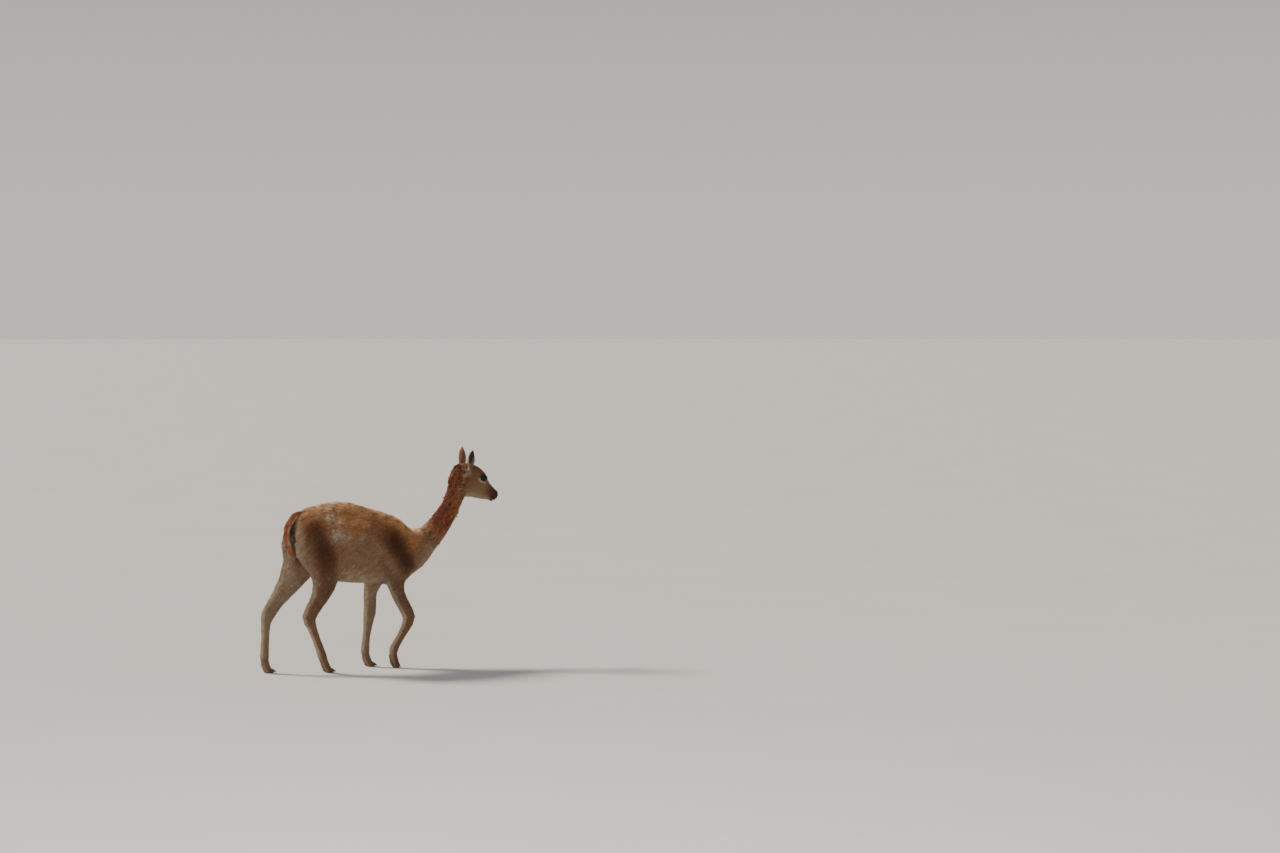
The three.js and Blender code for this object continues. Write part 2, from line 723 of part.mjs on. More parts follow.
for (const [name, at] of Object.entries(SEEDS)) {
  const found = pieces.find((piece) => piece.intersect(ellipsoid(at, [3, 3, 3])).volume() > 0);
  addNode(name, found, COAT);
}
for (const [name, ear] of Object.entries(EARS))
  addNode(name, largest(earSolid(ear).subtract(envelope)), COAT);
addNode("tail", largest(tailSolid().subtract(envelope)), COAT);
addNode("eye_left", onEye(1, EYE_RADIUS), EYE_COLOUR, 0.1);
addNode("eye_right", onEye(-1, EYE_RADIUS), EYE_COLOUR, 0.1);
for (const [name, leg] of Object.entries(LEGS))
  for (const [place, way] of [["outer", leg.side], ["inner", -leg.side]]) {
    const nail = limbSolid(nailRings(leg, way)).subtract(envelope).subtract(floor);
    addNode(name.replace("leg", "nail") + "_" + place, largest(nail), NAIL_COLOUR, 0.4);
  }

// The origin is below the middle of the whole animal, on the floor.
const extent = new THREE.Box3().setFromObject(model);
const centre = extent.getCenter(new THREE.Vector3());
for (const mesh of model.children) mesh.geometry.translate(-centre.x, -centre.y, 0);

export default model;
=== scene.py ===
# A vicuna at life size, in a slow walk: skin, fleece, head, eyes and nails, in metres.
import math

import bpy
import numpy as np
from mathutils import Matrix, Vector
from mathutils.kdtree import KDTree


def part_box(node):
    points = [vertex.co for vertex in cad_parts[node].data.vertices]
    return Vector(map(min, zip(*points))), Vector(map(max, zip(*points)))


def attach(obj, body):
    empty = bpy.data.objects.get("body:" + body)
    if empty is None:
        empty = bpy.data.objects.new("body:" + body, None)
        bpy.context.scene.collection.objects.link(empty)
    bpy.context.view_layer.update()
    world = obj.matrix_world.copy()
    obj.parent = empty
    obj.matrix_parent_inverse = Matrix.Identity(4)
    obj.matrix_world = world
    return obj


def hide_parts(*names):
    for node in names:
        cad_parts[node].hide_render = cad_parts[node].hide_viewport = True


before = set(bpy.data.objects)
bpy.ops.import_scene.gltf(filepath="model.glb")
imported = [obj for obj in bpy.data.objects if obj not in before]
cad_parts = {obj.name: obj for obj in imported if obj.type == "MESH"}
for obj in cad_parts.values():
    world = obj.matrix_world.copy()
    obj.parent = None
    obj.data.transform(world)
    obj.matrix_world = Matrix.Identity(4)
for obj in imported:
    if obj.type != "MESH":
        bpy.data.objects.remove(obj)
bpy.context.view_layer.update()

# Driving sizes

SKIN_VOXEL = 0.0026
SKIN_TRIANGLES = 111000  # before the face is made finer
SKIN_EASING = 170  # rounds of smoothing
EYE_RADIUS = 0.016
EYE_IN_HEAD = (0.122, 0.038, 0.047)
EYE_LOOKS = np.array([0.22, 0.96, 0.16])  # out through the left pupil
EYE_TILT = math.radians(22)
LID_OPENING = (0.0156, 0.0122, 0.0102)  # half its length, and up and down from its middle line
HEAD_AT = (0.655, 0.0, 1.005)
HEAD_PITCH = math.radians(30)

# How much grows on the skin

FLEECE_TUFTS = 172000
LEG_TUFTS = 40000
FACE_TUFTS = 36000
NECK_TUFTS = 24000
NECK_LOCKS = 1900
TAIL_LOCKS = 300
LOCK_STRANDS = 9
EAR_TUFTS = 5200
EAR_WISPS = 110
LASHES = 34
TUFT_SIDES = 3
BAKE_PATCH = 0.003
MOST_TRIANGLES = 190000

# Colours, as a maker would mix them


def paint(red, green, blue):
    """A colour from its red, green and blue in 0-255, as light."""
    screen = np.array([red, green, blue]) / 255
    return np.where(screen < 11 / 255, screen / 12.92, ((screen + 0.055) / 1.055) ** 2.4)


CINNAMON = paint(194, 132, 78)
# The paler tawny below is painted sunlight for the top of the back.
TAWNY_PAINTED_LIGHT = paint(230, 192, 146)
FLANK = paint(164, 130, 100)
LOIN_GREY = paint(212, 198, 178)
DARK_BROWN = paint(82, 42, 20)
RUST = paint(126, 68, 35)
THROAT = paint(116, 86, 60)
CREAM = paint(206, 184, 154)
TAIL_RUST = paint(158, 92, 50)
LEG_BEIGE = paint(122, 88, 60)
CHEEK = paint(126, 95, 68)
MUZZLE = paint(66, 38, 22)
NOSE_LEATHER = paint(32, 22, 18)
EYE_SKIN = paint(32, 22, 18)
EAR_INSIDE = paint(62, 47, 37)
EAR_BACK = paint(138, 90, 56)

# Places on the animal, from where the walk stands: +X forward, +Y left, the floor at 0

NECK_LINE = np.array([
    (0.372, 0, 0.640), (0.440, 0, 0.672), (0.500, 0, 0.712), (0.548, 0, 0.758),
    (0.588, 0, 0.810), (0.618, 0, 0.866), (0.638, 0, 0.922), (0.652, 0, 0.975),
])
LEG_LINES = {
    "leg_hind_right": (-1, [
        (-0.243, 0.716), (-0.242, 0.650), (-0.210, 0.556), (-0.211, 0.452), (-0.256, 0.360),
        (-0.290, 0.293), (-0.278, 0.246), (-0.248, 0.170), (-0.216, 0.088), (-0.206, 0.056),
        (-0.187, 0.014),
    ]),
    "leg_hind_left": (1, [
        (-0.246, 0.716), (-0.247, 0.650), (-0.268, 0.560), (-0.330, 0.458), (-0.398, 0.374),
        (-0.446, 0.304), (-0.463, 0.256), (-0.469, 0.172), (-0.474, 0.088), (-0.471, 0.056),
        (-0.457, 0.014),
    ]),
    "leg_front_left": (1, [
        (0.272, 0.590), (0.205, 0.500), (0.157, 0.410), (0.150, 0.345), (0.144, 0.284), (0.135, 0.226),
        (0.125, 0.160), (0.117, 0.088), (0.121, 0.056), (0.138, 0.014),
    ]),
    "leg_front_right": (-1, [
        (0.286, 0.590), (0.228, 0.500), (0.232, 0.405), (0.272, 0.325), (0.302, 0.265), (0.284, 0.210),
        (0.250, 0.155), (0.218, 0.106), (0.210, 0.076), (0.218, 0.027),
    ]),
}
LEG_HALF_SPREAD = 0.077
TAIL_ROWS = [  # x, z, thickness and half width of the tail under its locks
    (-0.290, 0.826, 0.018, 0.020), (-0.328, 0.820, 0.013, 0.018), (-0.360, 0.791, 0.010, 0.016),
    (-0.377, 0.746, 0.009, 0.015), (-0.378, 0.698, 0.008, 0.014), (-0.366, 0.656, 0.007, 0.012),
    (-0.348, 0.622, 0.005, 0.007),
]
EARS = {  # where the ear grows, its tip, and where its cup opens to
    "ear_left": ((0.692, 0.038, 1.046), (0.706, 0.058, 1.160), (0.9, 0.5, 0.0)),
    "ear_right": ((0.692, -0.038, 1.042), (0.688, -0.082, 1.140), (0.15, -1.0, 0.2)),
}
FLESH = ["torso", "neck", "head", *LEG_LINES]
MOUTH_LINE = [
    (0.284, 0.0), (0.262, -0.005), (0.242, -0.009), (0.220, -0.013), (0.202, -0.014), (0.190, -0.009),
]
NECK_ROOT = (0.480, 0.686)
NECK_RISE = (0.77, 0.64)

# Marks, painted shade along the folds, and the folds themselves on both flanks: where each starts and ends,
# as x and z, and its radius

HAUNCH_DARK = ((-0.258, 0.745), (-0.206, 0.600), 0.058)
THIGH_DARK = ((-0.205, 0.62), (-0.205, 0.45), 0.052)
WITHERS_DARK = ((0.090, 0.745), (0.225, 0.665), 0.046)
SHOULDER_DARK = ((0.205, 0.668), (0.272, 0.565), 0.056)
LOIN_PALE = ((-0.150, 0.86), (-0.128, 0.735), 0.042)
FLANK_FOLD_SHADE = ((-0.150, 0.800), (-0.102, 0.600), 0.011)
ELBOW_FOLD_SHADE = ((0.120, 0.585), (0.165, 0.500), 0.020)
FLANK_FOLD = ((-0.145, 0.780), (-0.100, 0.592), 0.009)
ELBOW_FOLD = ((0.118, 0.585), (0.160, 0.505), 0.009)
ARM_FOLD = ((0.150, 0.60), (0.190, 0.52), 0.007)

# Soft forms of each side of the face, in the head: how high, where, and how long, wide and tall

FACE_FORMS = [
    (-0.0024, (0.152, 0.034, 0.034), (0.014, 0.02, 0.008)),  # hollow before the eye
    (0.0016, (0.128, 0.046, 0.020), (0.030, 0.02, 0.006)),  # bone of the cheek
    (0.0018, (0.222, 0.024, 0.002), (0.020, 0.02, 0.010)),  # upper lip
]
NOSTRIL = (0.2600, 0.0150, 0.0235)

eye_boxes = [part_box(name) for name in ("eye_left", "eye_right")]
EYES_MIDDLE = sum((low + high for low, high in eye_boxes), Vector()) / 4
HEAD_TURN = Matrix.Rotation(HEAD_PITCH, 3, "Y")
STANCE = np.array(EYES_MIDDLE - (Vector(HEAD_AT) + HEAD_TURN @ Vector((EYE_IN_HEAD[0], 0, EYE_IN_HEAD[2]))))

# Numbers and arrays


def smooth(low, high, value):
    share = np.clip((value - low) / (high - low), 0, 1)
    return share * share * (3 - 2 * share)


def bell(value, width):
    """1 at zero, falling off to both sides."""
    return np.exp(-((value / width) ** 2))


def unit(vectors):
    return vectors / np.maximum(np.linalg.norm(vectors, axis=-1, keepdims=True), 1e-9)


def wander(points, size, seed):
    """A soft random field from about -1 to 1, whose hills are about `size` apart."""
    rng = np.random.default_rng(seed)
    total = np.zeros(len(points))
    for _ in range(7):
        way = unit(rng.normal(size=3)) * rng.uniform(0.7, 1.4) * 2 * np.pi / size
        total += np.sin(points @ way + rng.uniform(0, 6.3))
    return total / 2.6


def patch(points, centre, radii, edge=0.3):
    """1 inside an ellipsoid, 0 outside it, with a soft edge. A radius of None reaches through the body."""
    near = [(i, radius) for i, radius in enumerate(radii) if radius is not None]
    away = sum(((points[:, i] - centre[i]) / radius) ** 2 for i, radius in near)
    return smooth(1 + edge, 1 - edge, np.sqrt(away))


def streak(points, start, end, radius, edge=0.4):
    """A patch on both flanks along a line from start to end, as x and z."""
    flat = points[:, [0, 2]]
    a, b = np.array(start), np.array(end)
    share = np.clip((flat - a) @ (b - a) / ((b - a) @ (b - a)), 0, 1)
    away = np.linalg.norm(flat - (a + share[:, None] * (b - a)), axis=1)
    return smooth(1 + edge, 1 - edge, away / radius)


def nearest_on(line, points):
    """How far along a line of places each point lies, its distance, and the line's way there."""
    best = np.full(len(points), 1e9)
    share_of, way_of = np.zeros(len(points)), np.zeros((len(points), 3))
    for i, (a, b) in enumerate(zip(line[:-1], line[1:])):
        share = np.clip((points - a) @ (b - a) / ((b - a) @ (b - a)), 0, 1)
        away = np.linalg.norm(points - (a + share[:, None] * (b - a)), axis=1)
        closer = away < best
        best = np.where(closer, away, best)
        share_of = np.where(closer, i + share, share_of)
        way_of[closer] = unit(b - a)
    return share_of, best, way_of


def to_head(points):
    """Places in the head's own frame: +X towards the nose, +Y left, +Z towards the crown."""
    return (points - np.array(HEAD_AT)) @ np.array(HEAD_TURN)


def from_head(vectors):
    return vectors @ np.array(HEAD_TURN).T


class Places:
    """Where points of the skin lie: in the head, the neck, a leg or the trunk, each as a share."""

    def __init__(self, points, normals):
        self.p, self.n = points, normals
        self.h = to_head(points)
        self.face = normals @ np.array(HEAD_TURN)
        self.head = smooth(-0.015, 0.035, self.h[:, 0] + 0.25 * self.h[:, 2]) * (points[:, 2] > 0.85)
        self.neck_share, _, self.neck_way = nearest_on(NECK_LINE, points)
        forward, up = points[:, 0] - NECK_ROOT[0], points[:, 2] - NECK_ROOT[1]
        self.up_neck = forward * NECK_RISE[0] + up * NECK_RISE[1]
        self.neck = smooth(-0.075, 0.02, self.up_neck) * (1 - self.head)
        self.leg_down = np.zeros((len(points), 3))
        self.outer = np.zeros(len(points))
        nearest = np.full(len(points), 1e9)
        for side, line in LEG_LINES.values():
            line = np.array([(x, side * LEG_HALF_SPREAD, z) for x, z in line])
            _, away, way = nearest_on(line, points)
            closer = away < nearest
            nearest = np.where(closer, away, nearest)
            self.leg_down[closer] = way[closer]
            self.outer = np.where(closer, side * normals[:, 1], self.outer)
        self.leg = smooth(0.60, 0.44, points[:, 2]) * smooth(0.14, 0.085, nearest)
        self.foot = smooth(0.10, 0.06, points[:, 2])
        self.low_leg = smooth(0.40, 0.28, points[:, 2])
        self.trunk = (1 - self.head) * (1 - self.neck) * (1 - self.leg)
        self.front = normals[:, 0] * 0.8 - normals[:, 2] * 0.6
        self.beside = smooth(0.3, 0.7, np.abs(normals[:, 1]))


def bare_nose(h):
    """Where the nose and the lips have no hair."""
    return smooth(0.248, 0.258, h[:, 0] + 0.35 * h[:, 2] - 0.006)


def coat_depth(at):
    """How deep the coat lies over the skin."""
    depth = 0.0078 * at.trunk + 0.0052 * at.leg * (1 - at.low_leg) + 0.0022 * at.leg * at.low_leg
    depth = depth + 0.0065 * at.neck + at.head * (0.0012 + 0.0016 * smooth(0.08, 0.0, at.h[:, 0]))
    return depth * (1 - 0.55 * at.foot)


def coat_lie(at):
    """The way the coat lies, along the skin."""
    low = smooth(0.74, 0.52, at.p[:, 2])[:, None]
    trunk = np.array([-1.0, 0, -0.22]) * (1 - low) + np.array([-0.62, 0, -0.8]) * low
    head_local = np.stack([-np.ones(len(at.p)), 0.35 * np.sign(at.h[:, 1]), -0.35 * np.ones(len(at.p))], 1)
    way = trunk * at.trunk[:, None] + at.leg_down * at.leg[:, None]
    way = way - at.neck_way * at.neck[:, None] + from_head(head_local) * at.head[:, None]
    return along_skin(way, at.n)


def along_skin(ways, normals):
    return unit(ways - normals * np.sum(ways * normals, axis=1, keepdims=True))


class Marks:
    """The colours of a coat, laid one over another."""

    def __init__(self, ground, count):
        self.colour = np.tile(ground, (count, 1))

    def lay(self, new, share):
        share = np.clip(share, 0, 1)[:, None]
        self.colour = self.colour * (1 - share) + new * share


def coat_colour(at):
    """The markings of the whole animal, the same for skin and fleece."""
    coat = Marks(CINNAMON, len(at.p))
    mottle = wander(at.p, 0.05, 3) * 0.5 + wander(at.p, 0.018, 4) * 0.5
    fine = wander(at.p, 0.009, 5)
    for mark in (mark_trunk, mark_legs, mark_neck, mark_head):
        mark(coat.lay, at, mottle, fine)
    freckle = (0.13 * mottle + 0.13 * fine) * (1 - 0.6 * at.head)
    return coat.colour * np.exp(freckle)[:, None]


def mark_trunk(lay, at, mottle, fine):
    """Paler top of the back as painted sunlight, drab flanks, dark haunch and shoulder, grey loin, painted
    shade along the folds, and the cleft under the tail: dark skin and painted shade.
    """
    p, n = at.p, at.n
    # Painted sunlight: the coat is paler where the skin faces up, on the lit top of the back.
    lay(TAWNY_PAINTED_LIGHT, 0.85 * smooth(0.30, 0.95, n[:, 2]) * smooth(-0.6, 0.2, mottle + 0.3))
    flank_edge = 0.735 - 0.10 * smooth(0.05, 0.35, p[:, 0]) + 0.016 * mottle
    lay(FLANK, 0.92 * smooth(flank_edge + 0.035, flank_edge - 0.05, p[:, 2]))
    lay(DARK_BROWN * 1.2, 0.82 * streak(p, *HAUNCH_DARK, 0.85))
    lay(DARK_BROWN * 1.5, 0.7 * streak(p, *THIGH_DARK, 0.7) * smooth(-0.3, 0.4, at.outer))
    lay(DARK_BROWN * 1.4, 0.55 * streak(p, *WITHERS_DARK, 0.9))
    lay(DARK_BROWN, 0.90 * streak(p, *SHOULDER_DARK, 0.80))
    lay(LOIN_GREY, 0.9 * streak(p, *LOIN_PALE, 0.8) * smooth(-0.9, 0.9, mottle + 0.6 * fine))
    grey = patch(p, (-0.03, 0, 0.735), (0.12, None, 0.05), 0.6)
    lay(LOIN_GREY, 0.38 * grey * smooth(-0.6, 0.9, mottle + 0.5 * fine))
    # Painted shade: dark lines along the fold before the thigh and in the fold behind the elbow.
    fold = streak(p, *FLANK_FOLD_SHADE, 1.2) * smooth(-0.7, 0.6, fine)
    elbow = streak(p, *ELBOW_FOLD_SHADE, 1.0) * smooth(-0.6, 0.7, fine)
    lay(DARK_BROWN, (0.62 * fold + 0.6 * elbow) * at.beside)
    lay(CREAM, 0.7 * smooth(-0.25, -0.75, n[:, 2]) * smooth(0.62, 0.52, p[:, 2]))
    rear = smooth(-0.300, -0.345, p[:, 0]) * smooth(0.86, 0.80, p[:, 2]) * (p[:, 2] > 0.46)
    lay(CREAM, 0.62 * rear)
    # The cleft under the tail: dark skin there, and painted shade in the deep gap between tail and buttocks.
    cleft = smooth(0.052, 0.030, np.abs(p[:, 1])) * smooth(-0.265, -0.295, p[:, 0])
    lay(DARK_BROWN * 0.6, 0.85 * cleft * smooth(0.50, 0.56, p[:, 2]) * smooth(0.825, 0.795, p[:, 2]))


def mark_legs(lay, at, mottle, fine):
    """Drab legs, cream inside and behind, warmer in front, and darker feet."""
    lay(LEG_BEIGE, at.leg * 0.85 * smooth(0.56, 0.44, at.p[:, 2]))
    lay(CREAM * (0.8 - 0.3 * at.low_leg[:, None]), at.leg * 0.55 * smooth(0.1, -0.5, at.outer))
    behind = np.sum(at.n * np.cross(at.leg_down, (0, -1, 0)), axis=1)
    lay(CREAM, at.leg * 0.8 * smooth(0.35, 0.85, behind))
    lay(CINNAMON * 0.5, at.leg * 0.5 * smooth(-0.35, -0.85, behind) * smooth(-0.2, 0.3, at.outer))
    lay(LEG_BEIGE * 0.7, 0.6 * at.foot)


def mark_neck(lay, at, mottle, fine):
    """Rust wool behind and at the sides, drab in front, pale at the root and on the chest."""
    off_head = 1 - at.head
    rusty = smooth(-0.035, 0.075, at.up_neck + 0.018 * mottle + 0.010 * fine) * off_head
    low = smooth(0.75, 0.66, at.p[:, 2])
    lay(FLANK * 0.92, 0.8 * smooth(-0.13, -0.03, at.up_neck + 0.01 * mottle) * low * off_head)
    lay(RUST, rusty * smooth(0.66, 0.10, at.front + 0.1 * mottle))
    lay(THROAT, rusty * smooth(0.25, 0.75, at.front + 0.1 * mottle))
    chest = patch(at.p, (0.415, 0, 0.600), (0.085, None, 0.085), 0.4)
    lay(FLANK, 0.7 * chest * (1 - rusty))
    lay(CREAM, 0.5 * chest * smooth(0.1, 0.7, at.front))


def mark_head(lay, at, mottle, fine):
    """Brown crown and muzzle, paler cheeks and jaw, painted brow shadow above the eyes, and the dark skin of
    eyes, nose and mouth.
    """
    h, head, up = at.h, at.head, at.face[:, 2]
    ragged = h[:, 0] + 0.012 * mottle + 0.008 * fine
    lay(CHEEK, head * smooth(-0.015, 0.060, ragged))
    lay(CINNAMON * 0.62, head * smooth(0.1, 0.75, up) * smooth(0.235, 0.19, h[:, 0]))
    lay(RUST, head * smooth(0.065, 0.0, ragged) * smooth(-0.4, 0.2, up))
    lay(CREAM * 0.55, head * 0.65 * smooth(-0.2, -0.75, up))
    lay(MUZZLE * 1.3, head * 0.75 * smooth(0.140, 0.205, h[:, 0]) * smooth(-0.030, 0.000, h[:, 2]))
    lay(MUZZLE, head * smooth(0.195, 0.240, h[:, 0]) * smooth(-0.040, -0.022, h[:, 2]))
    mirrored = np.stack([h[:, 0], np.abs(h[:, 1]), h[:, 2]], 1)
    lay(CREAM * 0.9, head * 0.8 * patch(mirrored, (0.020, 0.048, 0.032), (0.020, 0.03, 0.024), 0.6))
    lay(DARK_BROWN, head * 0.5 * patch(mirrored, (0.085, 0.045, 0.070), (0.030, 0.03, 0.018), 0.5))
    rim_away, above, ahead = lid_away(h)
    lay(CREAM * 0.8, head * 0.7 * smooth(0.002, -0.008, above) * smooth(2.9, 2.2, rim_away))
    # Painted shade of the brow: darker above the eye.
    lay(DARK_BROWN * 1.2, head * 0.6 * smooth(-0.002, 0.010, above) * smooth(2.8, 1.8, rim_away))
    lay(EYE_SKIN, head * smooth(1.95 + 0.10 * mottle, 1.45, rim_away))
    tear_line = np.array([(0.010, 0, 0.0), (0.032, 0, -0.006)])
    tear = nearest_on(tear_line, (mirrored - EYE_IN_HEAD) * [1, 0, 1])[1]
    lay(EYE_SKIN * 1.5, head * 0.7 * smooth(0.0060, 0.0020, tear) * (ahead > 0.01))
    lay(NOSE_LEATHER, head * smooth(0.246, 0.262, h[:, 0] + 0.35 * h[:, 2] - 0.006))
    lay(NOSE_LEATHER, head * bell(mouth_away(h), 0.0035) * smooth(0.195, 0.220, h[:, 0]))


def eye_at(way):
    """The middle of an eye in the head, the left one for 1 and the right one for -1."""
    return np.array(EYE_IN_HEAD) * [1, way, 1]


def lid_away(h):
    """How far a place is from the middle of the eye's opening, as 1 at its rim, then how far up and ahead."""
    from_eye = h * np.where(h[:, 1:2] < 0, [1, -1, 1], [1, 1, 1]) - EYE_IN_HEAD
    ahead = from_eye[:, 0] * math.cos(EYE_TILT) + from_eye[:, 2] * math.sin(EYE_TILT)
    above = from_eye[:, 2] * math.cos(EYE_TILT) - from_eye[:, 0] * math.sin(EYE_TILT)
    tall = np.where(above > 0, LID_OPENING[1], LID_OPENING[2])
    deep = np.clip(from_eye[:, 1] + 0.004, None, 0) / 0.012
    return np.sqrt((ahead / LID_OPENING[0]) ** 2 + (above / tall) ** 2 + deep**2), above, ahead


def mouth_away(h):
    """The distance from the line of the mouth, seen from the side of the head."""
    line = np.array([(x, 0, z) for x, z in MOUTH_LINE])
    return nearest_on(line, h * [1, 0, 1])[1]


# Blender helpers


def deselect():
    bpy.ops.object.select_all(action="DESELECT")


def pick(obj):
    deselect()
    obj.select_set(True)
    bpy.context.view_layer.objects.active = obj
    return obj


def edit_all(obj, step, **settings):
    """One mesh operator on all of an object."""
    pick(obj)
    bpy.ops.object.mode_set(mode="EDIT")
    bpy.ops.mesh.select_all(action="SELECT")
    step(**settings)
    bpy.ops.object.mode_set(mode="OBJECT")


def node_copy(name, label):
    """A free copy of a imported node, with its loose triangles merged."""
    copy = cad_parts[name].copy()
    copy.data = copy.data.copy()
    copy.parent = None
    copy.name = label
    for key in list(copy.keys()):
        del copy[key]
    bpy.context.scene.collection.objects.link(copy)
    edit_all(copy, bpy.ops.mesh.remove_doubles, threshold=1e-5)
    return copy


def merged(objects, label):
    """Several objects as one."""
    deselect()
    for obj in objects:
        obj.select_set(True)
    bpy.context.view_layer.objects.active = objects[0]
    if len(objects) > 1:
        bpy.ops.object.join()
    objects[0].name = label
    return objects[0]


def modify(obj, kind, **settings):
    """Adds a modifier and applies it."""
    pick(obj)
    modifier = obj.modifiers.new(kind, kind)
    for key, value in settings.items():
        setattr(modifier, key, value)
    bpy.ops.object.modifier_apply(modifier=modifier.name)


def read(items, key):
    """What each item of a mesh has under a key, as rows of three."""
    flat = np.empty(len(items) * 3)
    items.foreach_get(key, flat)
    return flat.reshape(-1, 3)


def points_of(obj):
    return read(obj.data.vertices, "co")


def normals_of(obj):
    return read(obj.data.vertices, "normal")


def move_points(obj, points):
    obj.data.vertices.foreach_set("co", np.ascontiguousarray(points, np.float32).ravel())
    obj.data.update()


def weigh(obj, name, weights, steps=20):
    """A vertex group whose weights go up in steps."""
    group = obj.vertex_groups.new(name=name)
    level = np.round(np.clip(weights, 0, 1) * steps).astype(int)
    for step in range(1, steps + 1):
        found = np.nonzero(level == step)[0].tolist()
        if found:
            group.add(found, step / steps, "REPLACE")
    return name


def store(mesh, name, kind, key, values):
    """Gives each point of a mesh a value that a material can ask for by name."""
    attribute = mesh.attributes.new(name, kind, "POINT")
    attribute.data.foreach_set(key, np.ascontiguousarray(values, np.float32).ravel())


def set_colours(mesh, name, colours):
    full = np.ones((len(mesh.vertices), 4), np.float32)
    full[:, : colours.shape[1]] = colours
    store(mesh, name, "FLOAT_COLOR", "color", full)


def shade_smooth(obj):
    obj.data.polygons.foreach_set("use_smooth", np.ones(len(obj.data.polygons), bool))
    obj.data.update()


def ball(radius, at=(0, 0, 0), segments=32, rings=16):
    deselect()
    bpy.ops.mesh.primitive_uv_sphere_add(radius=radius, segments=segments, ring_count=rings, location=at)
    bpy.ops.object.transform_apply(location=True, rotation=True, scale=True)
    return bpy.context.object


def dress(obj, material, *nodes):
    """Gives a piece its material, its body and the nodes that it stands for."""
    obj.data.materials.clear()
    obj.data.materials.append(material)
    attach(obj, "root")
    if nodes:
        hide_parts(*nodes)
    return obj


# Skin


def in_head(x, y, z):
    """A place of the head's own frame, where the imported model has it."""
    return Vector(STANCE) + Vector(HEAD_AT) + HEAD_TURN @ Vector((x, y, z))


def places(obj):
    return Places(points_of(obj) - STANCE, normals_of(obj))


def skin_inset(at):
    """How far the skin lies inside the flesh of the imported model."""
    inset = 0.0060 * at.trunk + at.leg * (-0.0008 - 0.0008 * at.low_leg) + 0.0048 * at.neck
    nape = smooth(0.050, 0.0, at.h[:, 0]) * smooth(-0.2, 0.3, at.face[:, 2])
    return (inset + at.head * (0.0007 + 0.0045 * nape)) * (1 - 0.5 * at.foot) + 0.0035 * crease(at)


def crease(at):
    """Folds of the skin before the thigh and behind the elbow, where the walk gathers it."""
    fold = streak(at.p, *FLANK_FOLD, 1.3)
    elbow = streak(at.p, *ELBOW_FOLD, 1.3) + 0.6 * streak(at.p, *ARM_FOLD, 1.3)
    return (fold + elbow) * at.beside


def keep_largest(obj):
    """Drops every loose piece of a mesh but the largest."""
    pick(obj)
    bpy.ops.mesh.separate(type="LOOSE")
    found = sorted(bpy.context.selected_objects, key=lambda o: len(o.data.vertices))
    for scrap in found[:-1]:
        bpy.data.objects.remove(scrap)
    return found[-1]


def select_faces(obj, chosen):
    bpy.context.tool_settings.mesh_select_mode = (False, False, True)
    mesh = obj.data
    mesh.vertices.foreach_set("select", np.zeros(len(mesh.vertices), bool))
    mesh.edges.foreach_set("select", np.zeros(len(mesh.edges), bool))
    mesh.polygons.foreach_set("select", chosen)


def make_body():
    """The flesh as one closed skin, eased where it is soft and finest on the face."""
    parts = [node_copy(name, name + "_flesh") for name in FLESH]
    for way in (1, -1):
        x, y, z = EYE_IN_HEAD
        parts.append(ball(EYE_RADIUS + 0.0024, in_head(x, way * y, z), 48, 24))
    body = merged(parts, "skin")
    modify(body, "REMESH", mode="VOXEL", voxel_size=SKIN_VOXEL)
    body = keep_largest(body)
    at = places(body)
    ease = at.trunk + 0.8 * at.neck + at.leg * (0.40 - 0.32 * at.low_leg) + 0.05 * at.head
    eased = weigh(body, "ease", ease * (1 - 0.7 * at.foot))
    modify(body, "SMOOTH", factor=0.5, iterations=SKIN_EASING, vertex_group=eased)
    at = places(body)
    spare = (at.trunk + at.neck + at.leg * (1 - 0.45 * at.low_leg)) * (1 - at.head) + 0.3 * at.head
    faces = 2 * len(body.data.polygons)
    modify(body, "DECIMATE", ratio=SKIN_TRIANGLES / faces, vertex_group=weigh(body, "spare", spare, 10))
    at = places(body)
    move_points(body, points_of(body) - at.n * skin_inset(at)[:, None])
    h = to_head(read(body.data.polygons, "center") - STANCE)
    face = (h[:, 0] > 0.088) & (h[:, 0] < 0.3) & (h[:, 2] > -0.08) & (np.abs(h[:, 1]) < 0.07)
    select_faces(body, face)
    bpy.ops.object.mode_set(mode="EDIT")
    bpy.ops.mesh.subdivide(number_cuts=1, smoothness=0.5)
    bpy.ops.object.mode_set(mode="OBJECT")
    body.vertex_groups.clear()
    sculpt_head(body)
    return body


def eye_frame(way):
    """The eye's own axes in the head: forward along the lids, up, and out through the pupil."""
    out = unit(EYE_LOOKS) * [1, way, 1]
    along = np.array([math.cos(EYE_TILT), 0, math.sin(EYE_TILT)])
    along = unit(along - out * (along @ out))
    up = np.cross(out, along) * -way
    return along, up, out


def lid_height(u):
    """How far the upper and the lower rim stand off the middle line at u, from -1 to 1 along it."""
    bow = np.clip(1 - u * u, 0, 1) ** 0.75
    return bow * LID_OPENING[1], bow * LID_OPENING[2]


def dent(h, centre, ways, radii):
    """A soft dent or bump of 1 at a centre, along three ways."""
    away = h - centre
    total = sum((away @ unit(np.array(w)) / r) ** 2 for w, r in zip(ways, radii))
    return np.exp(-total)


